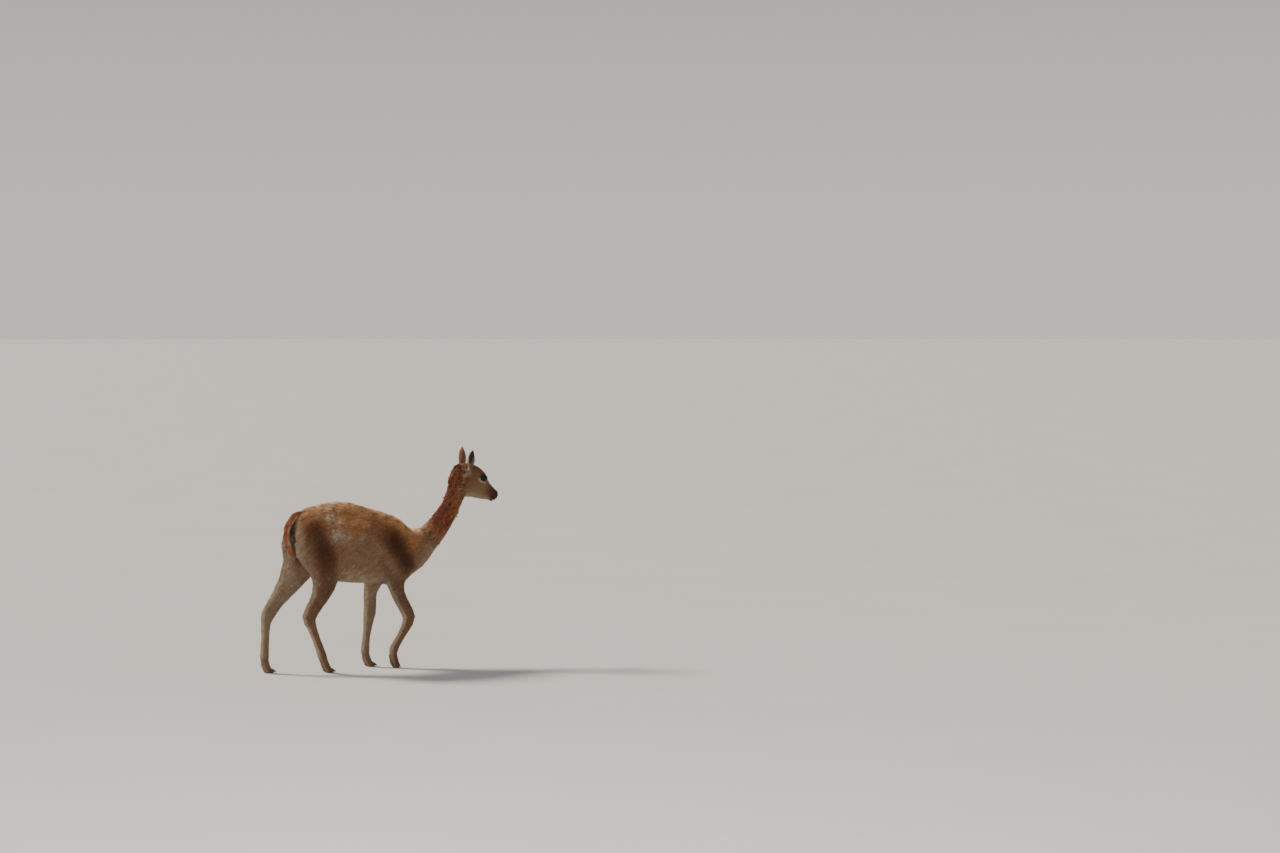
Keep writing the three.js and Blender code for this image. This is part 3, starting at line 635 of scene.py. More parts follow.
def sculpt_head(body):
    """Lids, folds, nostrils, lips and the cleft of the nose, as moves along the skin."""
    at = places(body)
    h = at.h.copy()
    rise = np.zeros(len(h))
    for way in (1, -1):
        side = h[:, 1] * way > 0
        # The nostril is a slit that runs down and in, in a soft wing
        centre = np.array(NOSTRIL) * [1, way, 1]
        slit = ((0.55, way * 0.30, -0.50), (0.50, way * 0.62, 0.55), (0.6, -way * 0.8, 0.1))
        rise += 0.0022 * dent(h, centre, slit, (0.0150, 0.0085, 0.02)) * side
        rise -= 0.0080 * dent(h, centre, slit, (0.0078, 0.0024, 0.02)) * side
        # Folds round the eye, and the forms of the cheek and the lip
        eye = eye_at(way)
        away = np.linalg.norm(h - eye, axis=1)
        rise -= 0.0011 * bell(away - 0.0265, 0.0022) * side
        rise += 0.0012 * bell(away - 0.0300, 0.0030) * side * smooth(-0.01, 0.02, h[:, 2] - eye[2])
        for height, place, radii in FACE_FORMS:
            rise += height * dent(h, np.array(place) * [1, way, 1], np.eye(3), radii) * side
    away = mouth_away(h)
    on_mouth = smooth(0.190, 0.204, h[:, 0])
    rise -= 0.0034 * bell(away, 0.0013) * on_mouth
    rise += 0.0011 * bell(away - 0.0048, 0.0030) * on_mouth
    cleft = bell(h[:, 1], 0.0012) * smooth(0.252, 0.262, h[:, 0]) * smooth(0.030, 0.014, h[:, 2])
    rise -= 0.0026 * cleft * smooth(-0.006, 0.0, h[:, 2])
    rise += 0.00025 * wander(h, 0.006, 21) * smooth(0.20, 0.25, h[:, 0])
    h = h + at.face * (rise * at.head)[:, None]
    for way in (1, -1):
        along, up, out = eye_frame(way)
        from_eye = h - eye_at(way)
        away = np.linalg.norm(from_eye, axis=1)
        u = from_eye @ along / LID_OPENING[0]
        v = from_eye @ up
        top, bottom = lid_height(u)
        share = np.where(v > 0, v / np.maximum(top, 1e-5), -v / np.maximum(bottom, 1e-5))
        near = (from_eye @ out > 0) & (away < 0.027) & (np.abs(u) < 1.25)
        opened = smooth(1.06, 0.94, share) * (np.abs(u) < 1) * near
        lid = near * smooth(1.9, 1.1, share) * smooth(1.25, 1.0, np.abs(u))
        target = away * (1 - lid) + (EYE_RADIUS + 0.0020) * lid
        target = target * (1 - opened) + (EYE_RADIUS - 0.0045) * opened
        h = h + from_eye / np.maximum(away, 1e-6)[:, None] * (target - away)[:, None]
    moved = np.array(HEAD_AT) + from_head(h) + STANCE
    points = points_of(body)
    inside = at.head > 0.5
    points[inside] = moved[inside]
    move_points(body, points)


def ear_axes(root, tip, opens):
    root, tip, opens = (np.array(v, float) for v in (root, tip, opens))
    up = unit(tip - root)
    return root, up, unit(opens - up * (opens @ up)), np.linalg.norm(tip - root)


def ear_colour(points, normals, axes):
    """A brown back with a warmer tip, a dark cup, and a cream edge and root."""
    root, up, opens, length = axes
    share = (points - root) @ up / length
    inner = normals @ opens
    ear = Marks(EAR_BACK, len(points))
    ear.lay(CINNAMON * 0.8, smooth(0.75, 1.0, share))
    ear.lay(EAR_INSIDE, smooth(0.05, 0.45, inner))
    ear.lay(CREAM, 0.75 * bell(inner, 0.30) * smooth(0.1, 0.3, share))
    ear.lay(CREAM, 0.7 * smooth(0.30, 0.12, share) * smooth(-0.2, 0.3, inner))
    return ear.colour


def make_ear(name):
    """An ear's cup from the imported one, smoother, with its root sunk into the skull."""
    ear = node_copy(name, name + "_cup")
    edit_all(ear, bpy.ops.mesh.tris_convert_to_quads)
    modify(ear, "SUBSURF", levels=2, render_levels=2)
    axes = ear_axes(*EARS[name])
    points = points_of(ear) - STANCE
    share = (points - axes[0]) @ axes[1]
    points = points - axes[1] * (0.010 * smooth(0.020, 0.0, share))[:, None]
    move_points(ear, points + STANCE)
    return ear, axes


def make_tail():
    """The tail under its locks: a ball drawn out along the tail's line."""
    tail = ball(1.0, segments=16, rings=32)
    rows = np.array(TAIL_ROWS)
    points = points_of(tail)
    share = (1 - points[:, 2]) / 2 * (len(rows) - 1)
    row = np.arange(len(rows))
    x, z, thick, side = (np.interp(share, row, rows[:, i]) for i in range(4))
    slope_x, slope_z = (np.interp(share, row, np.gradient(rows[:, i])) for i in range(2))
    way = unit(np.stack([slope_x, np.zeros(len(x)), slope_z], 1))
    back = np.cross(way, (0.0, 1.0, 0.0))
    round_off = np.minimum(np.sqrt(np.clip(1 - points[:, 2] ** 2, 0, 1)) * 2.5, 1)
    ring = unit(points * [1, 1, 0] + 1e-9)
    middle = np.stack([x, np.zeros(len(x)), z], 1)
    points = middle + back * (ring[:, 0] * thick * round_off)[:, None]
    points[:, 1] += ring[:, 1] * side * round_off
    move_points(tail, points + STANCE)
    edit_all(tail, bpy.ops.mesh.normals_make_consistent, inside=False)
    return tail


def tail_colour(normals):
    """Rust along the back of the tail, cream at its sides and under it."""
    tail = Marks(TAIL_RUST, len(normals))
    tail.lay(CREAM, 0.6 * smooth(0.80, 1.0, np.abs(normals[:, 1])))
    tail.lay(CREAM * 0.8, smooth(0.25, 0.8, normals[:, 0]))
    return tail.colour


# Coat


def stored_triangles(obj):
    obj.data.calc_loop_triangles()
    flat = np.empty(len(obj.data.loop_triangles) * 3, int)
    obj.data.loop_triangles.foreach_get("vertices", flat)
    return flat.reshape(-1, 3)


def sorted_triangles(obj):
    """Triangles in the order of their points, because a new ball's faces are stored in any order."""
    found = []
    for face in obj.data.polygons:
        ring = list(face.vertices)
        first = ring.index(min(ring))
        ring = ring[first:] + ring[:first]
        found += [(ring[0], ring[i], ring[i + 1]) for i in range(1, len(ring) - 1)]
    return np.array(sorted(found))


class Surface:
    """A skin that tufts can be scattered over."""

    def __init__(self, obj, triangles=stored_triangles):
        self.tris = triangles(obj)
        self.points = points_of(obj) - STANCE
        self.normals = normals_of(obj)
        a, b, c = (self.points[self.tris[:, i]] for i in range(3))
        self.area = np.linalg.norm(np.cross(b - a, c - a), axis=1) / 2
        self.middles = (a + b + c) / 3
        self.facing = unit(sum(self.normals[self.tris[:, i]] for i in range(3)))
        self.at = Places(self.middles, self.facing)

    def scatter(self, count, density, seed):
        """Evenly spread places on the skin, by a density per triangle, with the normals there."""
        rng = np.random.default_rng(seed)
        total = np.cumsum(self.area * density)
        picks = (np.arange(count) + rng.random(count)) / count * total[-1]
        tri = self.tris[np.minimum(np.searchsorted(total, picks), len(self.tris) - 1)]
        r, s = np.sqrt(rng.random(count)), rng.random(count)
        share = np.stack([1 - r, r * (1 - s), r * s], 1)[:, :, None]
        return (self.points[tri] * share).sum(1), unit((self.normals[tri] * share).sum(1))


class Tufts:
    """Many closed tapered tufts, each on a bent path, as meshes of under 200,000 triangles."""

    def __init__(self, root, normal, lie, length, width, rise, tip_rise, rings=2, wave=None, flat=0.5):
        count = len(root)
        full = lambda v: np.broadcast_to(v, (count,)).astype(float)[:, None]
        length, width, rise, tip_rise = full(length), full(width), full(rise), full(tip_rise)
        self.root, self.normal, self.rings = root, normal, rings
        self.start = root - normal * (0.25 * rise + 0.0004) - lie * 0.08 * length
        self.knee = root + lie * 0.45 * length + normal * 1.5 * rise
        self.tip = root + lie * length + normal * tip_rise
        self.width, self.flat, self.wave, self.lie = width, flat, wave, lie
        self.side = np.cross(normal, lie)

    def draw_tips(self, targets, share):
        """Draws the tips towards targets, so that the tufts gather in locks."""
        pull = (targets - self.tip) * np.broadcast_to(share, (len(self.tip),))[:, None]
        self.tip = self.tip + pull
        self.knee = self.knee + 0.35 * pull

    def build(self, name, material, colours, tone, unwrap, *nodes):
        """The meshes: their points, faces, colours, and a patch of the bake map for each tuft."""
        sides, rings = TUFT_SIDES, self.rings
        per = sides * rings + 1
        tris = [[2, 1, 0]]
        for ring in range(rings):
            first = ring * sides
            for i in range(sides):
                a, b = first + i, first + (i + 1) % sides
                above = [[a, b, b + sides], [a, b + sides, a + sides]]
                tris += above if ring < rings - 1 else [[a, b, per - 1]]
        tris = np.array(tris)
        along = np.append(np.repeat(np.arange(rings) / rings, sides), 1.0)
        corner = np.append(np.tile(2 * np.pi * np.arange(sides) / sides + np.pi / 2, rings), 0.0)
        taper = np.append(np.repeat(0.82 + 0.25 * np.sin(np.pi * np.arange(rings) / rings), sides), 0.0)
        across = np.append(np.tile(np.cos(corner[:sides]), rings), 0.0)
        t = along[None, :, None]
        points = self.start[:, None] * (1 - t) ** 2 + self.knee[:, None] * 2 * t * (1 - t)
        points = points + self.tip[:, None] * t * t
        half = self.width[:, None] / 2 * taper[None, :, None]
        points = points + self.side[:, None] * half * np.cos(corner)[None, :, None]
        points = points + self.normal[:, None] * half * self.flat * np.sin(corner)[None, :, None]
        if self.wave is not None:
            size, turns, phase = self.wave
            swing = np.sin(2 * np.pi * turns * along[None, :] + phase[:, None]) * along[None, :] ** 0.5
            points = points + self.side[:, None] * (size * swing)[:, :, None]
        u, v = unwrap
        fit = lambda value: 0.004 + 0.992 * (value - value.min()) / max(np.ptp(value), 1e-9)
        made = []
        most = MOST_TRIANGLES // len(tris)
        order = np.argsort(v, kind="stable")
        pieces = np.array_split(order, math.ceil(len(order) / most))
        for i, chosen in enumerate(pieces):
            mesh = bpy.data.meshes.new(name)
            co = (points[chosen] + STANCE).reshape(-1, 3)
            index = (tris[None] + (np.arange(len(chosen)) * per)[:, None, None]).reshape(-1)
            mesh.vertices.add(len(co))
            mesh.vertices.foreach_set("co", co.astype(np.float32).ravel())
            mesh.loops.add(len(index))
            mesh.loops.foreach_set("vertex_index", index.astype(np.int32))
            mesh.polygons.add(len(index) // 3)
            mesh.polygons.foreach_set("loop_start", np.arange(0, len(index), 3, dtype=np.int32))
            mesh.update(calc_edges=True)
            set_colours(mesh, "shade", np.repeat(colours[chosen], per, axis=0))
            ways = np.tile(np.stack([along, 0.5 + 0.5 * across]), len(chosen))
            set_colours(mesh, "strand", np.stack([ways[0], np.repeat(tone[chosen], per), ways[1]], 1))
            spot_u = fit(u[chosen])[:, None] + (along[None, :] - 0.5) * BAKE_PATCH
            spot_v = fit(v[chosen])[:, None] + 0.5 * across[None, :] * BAKE_PATCH
            spots = np.stack([spot_u.ravel(), spot_v.ravel()], 1)[index]
            mesh.uv_layers.new(name="OFBake").data.foreach_set("uv", spots.astype(np.float32).ravel())
            label = f"{name}_{i + 1}" if len(pieces) > 1 else name
            obj = bpy.data.objects.new(label, mesh)
            bpy.context.scene.collection.objects.link(obj)
            shade_smooth(obj)
            made.append(dress(obj, material, *nodes))
        return made


def round_trunk(at):
    return np.arctan2(at.p[:, 1], at.p[:, 2] - 0.66), at.p[:, 0]


def round_neck(at):
    back = at.p - np.stack([np.interp(at.neck_share, range(8), NECK_LINE[:, i]) for i in range(3)], 1)
    return np.arctan2(at.p[:, 1], -back[:, 0] * 0.8 + back[:, 2] * 0.6), at.neck_share


def round_head(at):
    return np.arctan2(at.h[:, 1], at.h[:, 2]), at.h[:, 0]


def round_legs(at):
    """Each leg opened along its inner side, one beside the next."""
    spread = at.p[:, 1] - np.sign(at.p[:, 1]) * LEG_HALF_SPREAD
    ahead = at.p[:, 0] > -0.05
    turn = np.arctan2(spread, np.abs(at.n[:, 0]) * 0.02 * np.sign(at.n[:, 0]) + 1e-6)
    return turn + 7.0 * ahead + 14.0 * (at.p[:, 1] > 0), at.p[:, 2]


def gathered(tufts, spacing, share, seed):
    """Draws tufts together in locks, about `spacing` apart."""
    rng = np.random.default_rng(seed)
    count = len(tufts.root)
    centres = tufts.root[rng.permutation(count)[: max(8, int(count * share))]]
    tree = KDTree(len(centres))
    for i, centre in enumerate(centres):
        tree.insert(centre, i)
    tree.balance()
    middle = np.array([tree.find(p)[0] for p in tufts.root])
    pull = 0.55 * smooth(2.2 * spacing, 0.2 * spacing, np.linalg.norm(middle - tufts.root, axis=1))
    tufts.draw_tips(middle + (tufts.tip - tufts.root) * 1.05, pull)


def swirled(lie, normal, angle):
    side = np.cross(normal, lie)
    return unit(lie * np.cos(angle)[:, None] + side * np.sin(angle)[:, None])


def sprout(surface, count, density, seed):
    """Roots for tufts on a skin, the normals and the places there, and the draws that vary them."""
    root, normal = surface.scatter(count, density, seed)
    return root, normal, Places(root, normal), np.random.default_rng(seed + 1)


def grow_fleece(surface, material):
    """The short dense fleece of the trunk, the shoulders and the thighs."""
    at = surface.at
    density = at.trunk + at.leg * (1 - at.low_leg) + 0.5 * at.neck * smooth(1.6, 0.6, at.neck_share)
    count = FLEECE_TUFTS
    root, normal, at, rng = sprout(surface, count, density, 31)
    angle = 0.30 * wander(root, 0.11, 33) + 0.22 * wander(root, 0.03, 34) + rng.normal(0, 0.16, count)
    lie = swirled(coat_lie(at), normal, angle)
    curls = 0.12 * wander(root, 0.035, 35) + 0.26 * wander(root, 0.013, 37)
    deep = coat_depth(at) * np.clip(0.84 + curls + rng.normal(0, 0.10, count), 0.35, 1.35)
    length = (0.0225 * at.trunk + 0.020 * at.neck + at.leg * 0.0165) * rng.uniform(0.65, 1.25, count)
    width = (0.0036 - 0.0008 * at.leg) * rng.uniform(0.7, 1.25, count)
    length = np.maximum(length, 0.010)
    tufts = Tufts(root, normal, lie, length, width, 0.72 * deep, 0.66 * deep, rings=1, flat=0.6)
    gathered(tufts, 0.010, 0.05, 36)
    # Painted light and shade: tufts on the crests of the curls are lighter, those in the hollows darker.
    shaded = np.exp(0.7 * curls)[:, None]
    tufts.build("fleece", material, coat_colour(at) * shaded, rng.random(count), round_trunk(at))


def grow_flat_hair(name, surface, material, count, seed, density, turn, size, lock, unwrap):
    """Short hair that lies flat. `size` gives the length and the width of a tuft at each place."""
    root, normal, at, rng = sprout(surface, count, density, seed)
    angle = turn[0] * wander(root, turn[1], seed + 2) + rng.normal(0, turn[2], count)
    lie = swirled(coat_lie(at), normal, angle)
    length, width = size(at)
    length = length * rng.uniform(0.75, 1.25, count)
    floor_room = np.maximum((root[:, 2] - 0.002) * 0.9, 0.003)
    deep = coat_depth(at) * rng.uniform(0.75, 1.2, count)
    width = width * rng.uniform(0.7, 1.25, count)
    length = np.minimum(length, floor_room)
    tufts = Tufts(root, normal, lie, length, width, 0.6 * deep, 0.55 * deep, rings=1, flat=0.6)
    gathered(tufts, 0.006, lock, seed + 3)
    tufts.tip[:, 2] = np.maximum(tufts.tip[:, 2], 0.0012)
    tufts.build(name, material, coat_colour(at), rng.random(count), unwrap(at))


def leg_hair_size(at):
    return 0.0115 - 0.0045 * at.foot, 0.0019 - 0.0006 * at.foot


def face_hair_size(at):
    back = smooth(0.12, 0.0, at.h[:, 0])
    return 0.0068 + 0.008 * back, 0.0012 + 0.0010 * back


def grow_short_hair(surface, material):
    """Hair on the shins, cannons and toes, and finer hair on the face, longer behind the cheeks."""
    at = surface.at
    legs = at.leg * at.low_leg * (1 + 0.8 * at.foot) * smooth(0.004, 0.010, surface.middles[:, 2])
    face = at.head * smooth(1.12, 1.30, lid_away(at.h)[0]) * (1 - bare_nose(at.h))
    for name, count, seed, density, turn, size, lock, unwrap in (
        ("leg_hair", LEG_TUFTS, 41, legs, (0.25, 0.05, 0.14), leg_hair_size, 0.08, round_legs),
        ("face_hair", FACE_TUFTS, 51, face, (0.18, 0.04, 0.12), face_hair_size, 0.07, round_head),
    ):
        grow_flat_hair(name, surface, material, count, seed, density, turn, size, lock, unwrap)


def locks_of(centre, normal, lie, length, width, height, rng):
    """Strands of rounded locks: each lock's strands side by side, highest in its middle."""
    count, strands = len(centre), LOCK_STRANDS
    across = np.tile(np.linspace(-1, 1, strands), count) + rng.normal(0, 0.12, count * strands)
    lock = np.repeat(np.arange(count), strands)
    normal, lie = normal[lock], lie[lock]
    side = np.cross(normal, lie)
    root = centre[lock] + side * (across * width[lock] / 2)[:, None]
    root = root + lie * (rng.normal(0, 0.08, len(lock)) * length[lock])[:, None]
    bow = np.sqrt(np.clip(1 - 0.85 * across**2, 0.05, 1))
    return lock, root, normal, lie, length[lock] * (0.8 + 0.25 * bow), height[lock] * bow


def grow_neck_wool(surface, material):
    """Curly wool behind and beside the neck, in wavy rounded locks over a short layer darkened with painted
    shade.
    """
    at = surface.at
    nape = at.head * smooth(0.035, -0.01, at.h[:, 0]) * smooth(-0.1, 0.3, at.face[:, 2])
    woolly = smooth(0.75, 0.35, at.front) * smooth(1.2, 2.0, at.neck_share) * at.neck + nape
    count = NECK_TUFTS
    root, normal, under, rng = sprout(surface, count, at.neck + nape, 61)
    lie = swirled(coat_lie(under), normal, rng.normal(0, 0.3, count))
    bared = smooth(0.35, 0.75, under.front)
    length = (0.019 - 0.004 * bared) * rng.uniform(0.7, 1.2, count)
    width = (0.0036 - 0.0010 * bared) * rng.uniform(0.75, 1.2, count)
    high = 0.0034 + 0.0016 * bared
    tufts = Tufts(root, normal, lie, length, width, high, 0.9 * high, rings=1, flat=0.6)
    # Painted shade: the short layer is darkened where the locks lie over it, less in front where they are
    # few.
    colours = coat_colour(under) * (0.30 + 0.66 * bared)[:, None]
    tufts.build("neck_down", material, colours, rng.random(count), round_neck(under))

    count = NECK_LOCKS
    centre, normal = surface.scatter(count, woolly, 63)
    at = Places(centre, normal)
    angle = 0.45 * wander(centre, 0.05, 64) + rng.normal(0, 0.30, count)
    lie = swirled(coat_lie(at), normal, angle)
    size = rng.uniform(0.75, 1.25, count)
    high = 0.0074 * size * (0.5 + 0.5 * smooth(0.75, 0.2, at.front) * smooth(1.2, 3.0, at.neck_share))
    lock, root, normal, lie, length, high = locks_of(
        centre, normal, lie, 0.030 * size, 0.0098 * size, high, rng
    )
    phase = rng.uniform(0, 6.3, count)[lock] + rng.normal(0, 0.25, len(lock))
    wave = (0.0024, 0.9, phase)
    tufts = Tufts(root, normal, lie, length, 0.0022, high, 0.30 * high, rings=3, wave=wave, flat=0.7)
    tufts.draw_tips(centre[lock] + (tufts.tip - tufts.root), 0.40)
    tone = 0.5 * rng.random(count)[lock] + 0.5 * rng.random(len(lock))
    waves = wander(centre * [1.0, 1.0, 0.45], 0.016, 65) + 0.5 * rng.normal(0, 1, count)
    colours = (coat_colour(at) * np.exp(0.30 * waves)[:, None])[lock]
    tufts.build("neck_wool", material, colours, tone, round_neck(Places(root, normal)))


def grow_tail(surface, material):
    """Overlapping locks down the tail, rust along its back and pale at its sides."""
    rng = np.random.default_rng(71)
    line = np.array([(x, 0, z) for x, z, *_ in TAIL_ROWS])
    _, _, way = nearest_on(line, surface.middles)
    blunt = np.abs(np.sum(way * surface.facing, axis=1))
    centre, normal = surface.scatter(TAIL_LOCKS, smooth(0.8, 0.5, blunt), 72)
    share, _, way = nearest_on(line, centre)
    near_root = smooth(2.2, 0.8, share)
    lie = along_skin(way + np.outer(near_root, (0.15, 0.0, -0.9)), normal)
    lie = swirled(lie, normal, rng.normal(0, 0.12, len(centre)))
    count = len(centre)
    inner = smooth(-0.2, 0.6, normal[:, 0])
    size = rng.uniform(0.8, 1.2, count) * (1 - 0.35 * inner) * (1 - 0.45 * near_root)
    lock, root, normal, lie, length, high = locks_of(
        centre, normal, lie, 0.050 * size, 0.011 * size, 0.0062 * size * (1 - 0.5 * inner), rng
    )
    wave = (0.0010, 0.8, rng.uniform(0, 6.3, count)[lock])
    tufts = Tufts(root, normal, lie, length, 0.0021, high, 0.05 * high, rings=3, wave=wave, flat=0.7)
    tufts.draw_tips(centre[lock] + (tufts.tip - tufts.root), 0.5)
    colours = tail_colour(normal)
    tone = rng.random(len(lock))
    turn = np.arctan2(root[:, 1], -normal[:, 0])
    tufts.build("tail_locks", material, colours, tone, (turn, share[lock]))


def grow_ear_hair(surface, axes, name, material):
    """Short hair over an ear, and longer wisps low inside its cup."""
    root_at, up, opens, length = axes
    rng = np.random.default_rng(81)

    def on_ear(points, normals):
        return (points - root_at) @ up / length, normals @ opens

    def lying(root, normal, way, spread):
        lie = along_skin(np.tile(way, (len(root), 1)), normal)
        return swirled(lie, normal, rng.normal(0, spread, len(root)))

    def turn_of(root):
        return np.arctan2(root @ np.cross(up, opens), root @ opens)

    share, inner = on_ear(surface.middles, surface.facing)
    low = smooth(0.62, 0.25, share) * smooth(0.02, 0.10, share) * smooth(-0.1, 0.35, inner)
    density = (smooth(0.35, 0.05, inner) + 0.4) * (share > -0.06)
    root, normal = surface.scatter(EAR_TUFTS, density, 82)
    share, inner = on_ear(root, normal)
    lie = lying(root, normal, up, 0.15)
    long = (0.0085 - 0.003 * share) * rng.uniform(0.75, 1.2, EAR_TUFTS)
    short = Tufts(root, normal, lie, long, 0.0014, 0.0009, 0.0010, rings=1, flat=0.6)
    unwrap = turn_of(root) + 4 * (inner > 0), share
    colours = ear_colour(root, normal, axes)
    short.build(name + "_hair", material, colours, rng.random(EAR_TUFTS), unwrap)

    root, normal = surface.scatter(EAR_WISPS, low + 1e-5, 83)
    share, _ = on_ear(root, normal)
    lie = lying(root, normal, up + 0.5 * opens, 0.35)
    long = 0.015 * rng.uniform(0.5, 1.2, EAR_WISPS)
    wave = (0.0012, 0.7, rng.uniform(0, 6.3, EAR_WISPS))
    wisps = Tufts(root, normal, lie, long, 0.0009, 0.0026, 0.0036, rings=3, wave=wave)
    pale = np.tile(CREAM * 0.42, (EAR_WISPS, 1))
    wisps.build(name + "_wisps", material, pale, rng.random(EAR_WISPS), (turn_of(root), share))


def grow_lashes(material):
    """Long dark lashes on the upper lids."""
    rng = np.random.default_rng(91)
    roots, outs, lies, spots = [], [], [], []
    for way in (1, -1):
        along, up, out = eye_frame(way)
        for u in np.linspace(-0.88, 0.92, LASHES):
            u += rng.normal(0, 0.015)
            top, _ = lid_height(u)
            flat = along * u * LID_OPENING[0] + up * (top + 0.0006)
            reach = EYE_RADIUS + 0.0022
            deep = math.sqrt(max(reach**2 - flat @ flat, 1e-6))
            place = eye_at(way) + flat + out * deep
            roots.append(np.array(HEAD_AT) + from_head(place))
            outs.append(from_head(unit(up + 0.2 * out)))
            lies.append(from_head(unit(out * 0.9 + along * (0.15 + 0.7 * u) - up * 0.32)))
            spots.append((way, u))
    roots, outs, lies = (np.array(v) for v in (roots, outs, lies))
    lies = along_skin(lies, outs)
    long = 0.0095 * rng.uniform(0.75, 1.15, len(roots))
    lashes = Tufts(roots, outs, lies, long, 0.0007, -0.0006, 0.0012, rings=3, flat=0.9)
    spots = np.array(spots)
    dark = np.tile(EYE_SKIN * 0.6, (len(roots), 1))
    lashes.build("lashes", material, dark, rng.random(len(roots)), (spots[:, 0], spots[:, 1]))


# Eyes and nails


def lid_rim(way):
    """The bare dark rim of the lids: a ring drawn onto the ball of the eye."""
    deselect()
    bpy.ops.mesh.primitive_torus_add(
        major_radius=1.0, minor_radius=0.1, major_segments=64, minor_segments=12, location=(0, 0, 0)
    )
    rim = bpy.context.object
    points = points_of(rim)
    turn = np.arctan2(points[:, 1], points[:, 0])
    inward = (np.hypot(points[:, 0], points[:, 1]) - 1) / 0.1
    lift = points[:, 2] / 0.1
    along, up, out = eye_frame(way)
    u = np.cos(turn)
    top, bottom = lid_height(u)
    v = np.where(np.sin(turn) > 0, top, -bottom)
    upper = smooth(-0.2, 0.5, np.sin(turn))
    thick = 0.0011 + 0.0006 * upper
    flat = np.outer(u * LID_OPENING[0], along) + np.outer(v, up)
    outward = unit(np.outer(u * 0.6, along) + np.outer(np.sin(turn), up))
    reach = EYE_RADIUS + 0.0012 + 0.0006 * upper
    deep = np.sqrt(np.clip(reach**2 - np.sum(flat * flat, 1), 1e-6, None))
    place = eye_at(way) + flat + deep[:, None] * out
    radial = unit(flat + deep[:, None] * out)
    outward = along_skin(outward, radial)
    place = place + outward * (inward * thick)[:, None] + radial * (lift * thick * 1.25)[:, None]
    move_points(rim, np.array(HEAD_AT) + from_head(place) + STANCE)
    edit_all(rim, bpy.ops.mesh.normals_make_consistent, inside=False)
    shade_smooth(rim)
    return rim


def make_eye(name, way, material):
    """An eyeball with the low bulge of its cornea, and a map that runs out from the pupil."""
    x, y, z = EYE_IN_HEAD
    middle = in_head(x, way * y, z)
    eye = ball(EYE_RADIUS - 0.0002, segments=64, rings=40)
    along, up, out = eye_frame(way)
    points = points_of(eye)
    local = np.array([from_head(w) for w in (along, up, out)])
    seen = unit(points) @ local.T
    bulge = 0.0010 * smooth(0.72, 0.98, seen[:, 2])
    points = points * (1 + bulge / EYE_RADIUS)[:, None]
    move_points(eye, points + np.array(middle))
    store(eye.data, "gaze", "FLOAT_VECTOR", "vector", seen)
    shade_smooth(eye)
    eye.name = name.replace("eye_", "eyeball_")
    return dress(eye, material, name)


def make_nail(name, material):
    """A toenail of grown horn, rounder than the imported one."""
    nail = node_copy(name, name.replace("nail_", "toenail_"))
    modify(nail, "SUBSURF", levels=2, render_levels=2)
    points = points_of(nail)
    middle = points.mean(axis=0)
    points = middle + (points - middle) * 1.06
    points[:, 2] = np.maximum(points[:, 2], 0.0)
    move_points(nail, points)
    shade_smooth(nail)
    return dress(nail, material, name)


# Materials


class Value:
    """A shader socket that takes part in sums."""

    def __init__(self, finish, socket):
        self.finish, self.socket = finish, socket

    def beside(self, name):
        """Another output of the same node."""
        return Value(self.finish, self.socket.node.outputs[name])

    def _sum(self, operation, *items):
        return self.finish.node("ShaderNodeMath", {"operation": operation}, *items)

    def __add__(self, other):
        return self._sum("ADD", self, other)

    def __sub__(self, other):
        return self._sum("SUBTRACT", self, other)

    def __mul__(self, other):
        return self._sum("MULTIPLY", self, other)

    def __truediv__(self, other):
        return self._sum("DIVIDE", self, other)

    def __pow__(self, other):
        return self._sum("POWER", self, other)

    def __rsub__(self, other):
        return self._sum("SUBTRACT", other, self)

    __radd__ = __add__
    __rmul__ = __mul__


class Nodes:
    """A node tree under way: one method makes any node, another mixes colours."""

    def __init__(self, owner):
        owner.use_nodes = True
        self.tree = owner.node_tree

    def put(self, socket, item):
        if isinstance(item, Value):
            self.tree.links.new(item.socket, socket)
        elif item is not None:
            socket.default_value = item

    def node(self, kind, settings, *items, out=0, **named):
        made = self.tree.nodes.new(kind)
        for key, value in settings.items():
            setattr(made, key, value)
        for socket, item in zip(made.inputs, items):
            self.put(socket, item)
        for key, item in named.items():
            self.put(made.inputs[key.replace("_", " ")], item)
        return Value(self, made.outputs[out])

    def attribute(self, name, out="Color"):
        return self.node("ShaderNodeAttribute", {"attribute_name": name}, out=out)

    def mix(self, share, first, second, blend="MIX"):
        made = self.tree.nodes.new("ShaderNodeMix")
        made.data_type, made.blend_type = "RGBA", blend
        for place, item in ((0, share), (6, first), (7, second)):
            self.put(made.inputs[place], colour_of(item) if place else item)
        return Value(self, made.outputs[2])

    def noise(self, size, detail=3.0, roughness=0.5, where=None):
        place = where or self.object_place()
        sockets = {"Vector": place, "Scale": 1 / size, "Detail": detail, "Roughness": roughness}
        return self.node("ShaderNodeTexNoise", {}, out="Fac", **sockets)

    def object_place(self):
        return self.node("ShaderNodeTexCoord", {}, out="Object")

    def bump(self, height, depth, strength=1.0):
        sockets = {"Strength": strength, "Distance": depth, "Height": height}
        return self.node("ShaderNodeBump", {}, out="Normal", **sockets)


class Finish(Nodes):
    """A material under way."""

    def __init__(self, name, slot):
        self.material = bpy.data.materials.new(name)
        self.material["slot"] = slot
        super().__init__(self.material)
        self.shader = self.tree.nodes["Principled BSDF"]

    def set(self, **sockets):
        for key, item in sockets.items():
            self.put(self.shader.inputs[key.replace("_", " ")], item)
        return self.material


def colour_of(item):
    """A painted colour as a socket takes it."""
    return (*[float(c) for c in item], 1.0) if isinstance(item, np.ndarray) else item


def toned(finish, colour, dark, light):
    """A colour made darker to lighter by a value from 0 to 1."""
    shade = finish.node("ShaderNodeMapRange", {}, light, 0.0, 1.0, dark, 2.0 - dark)
    return finish.node("ShaderNodeHueSaturation", {}, Value=shade, Color=colour)


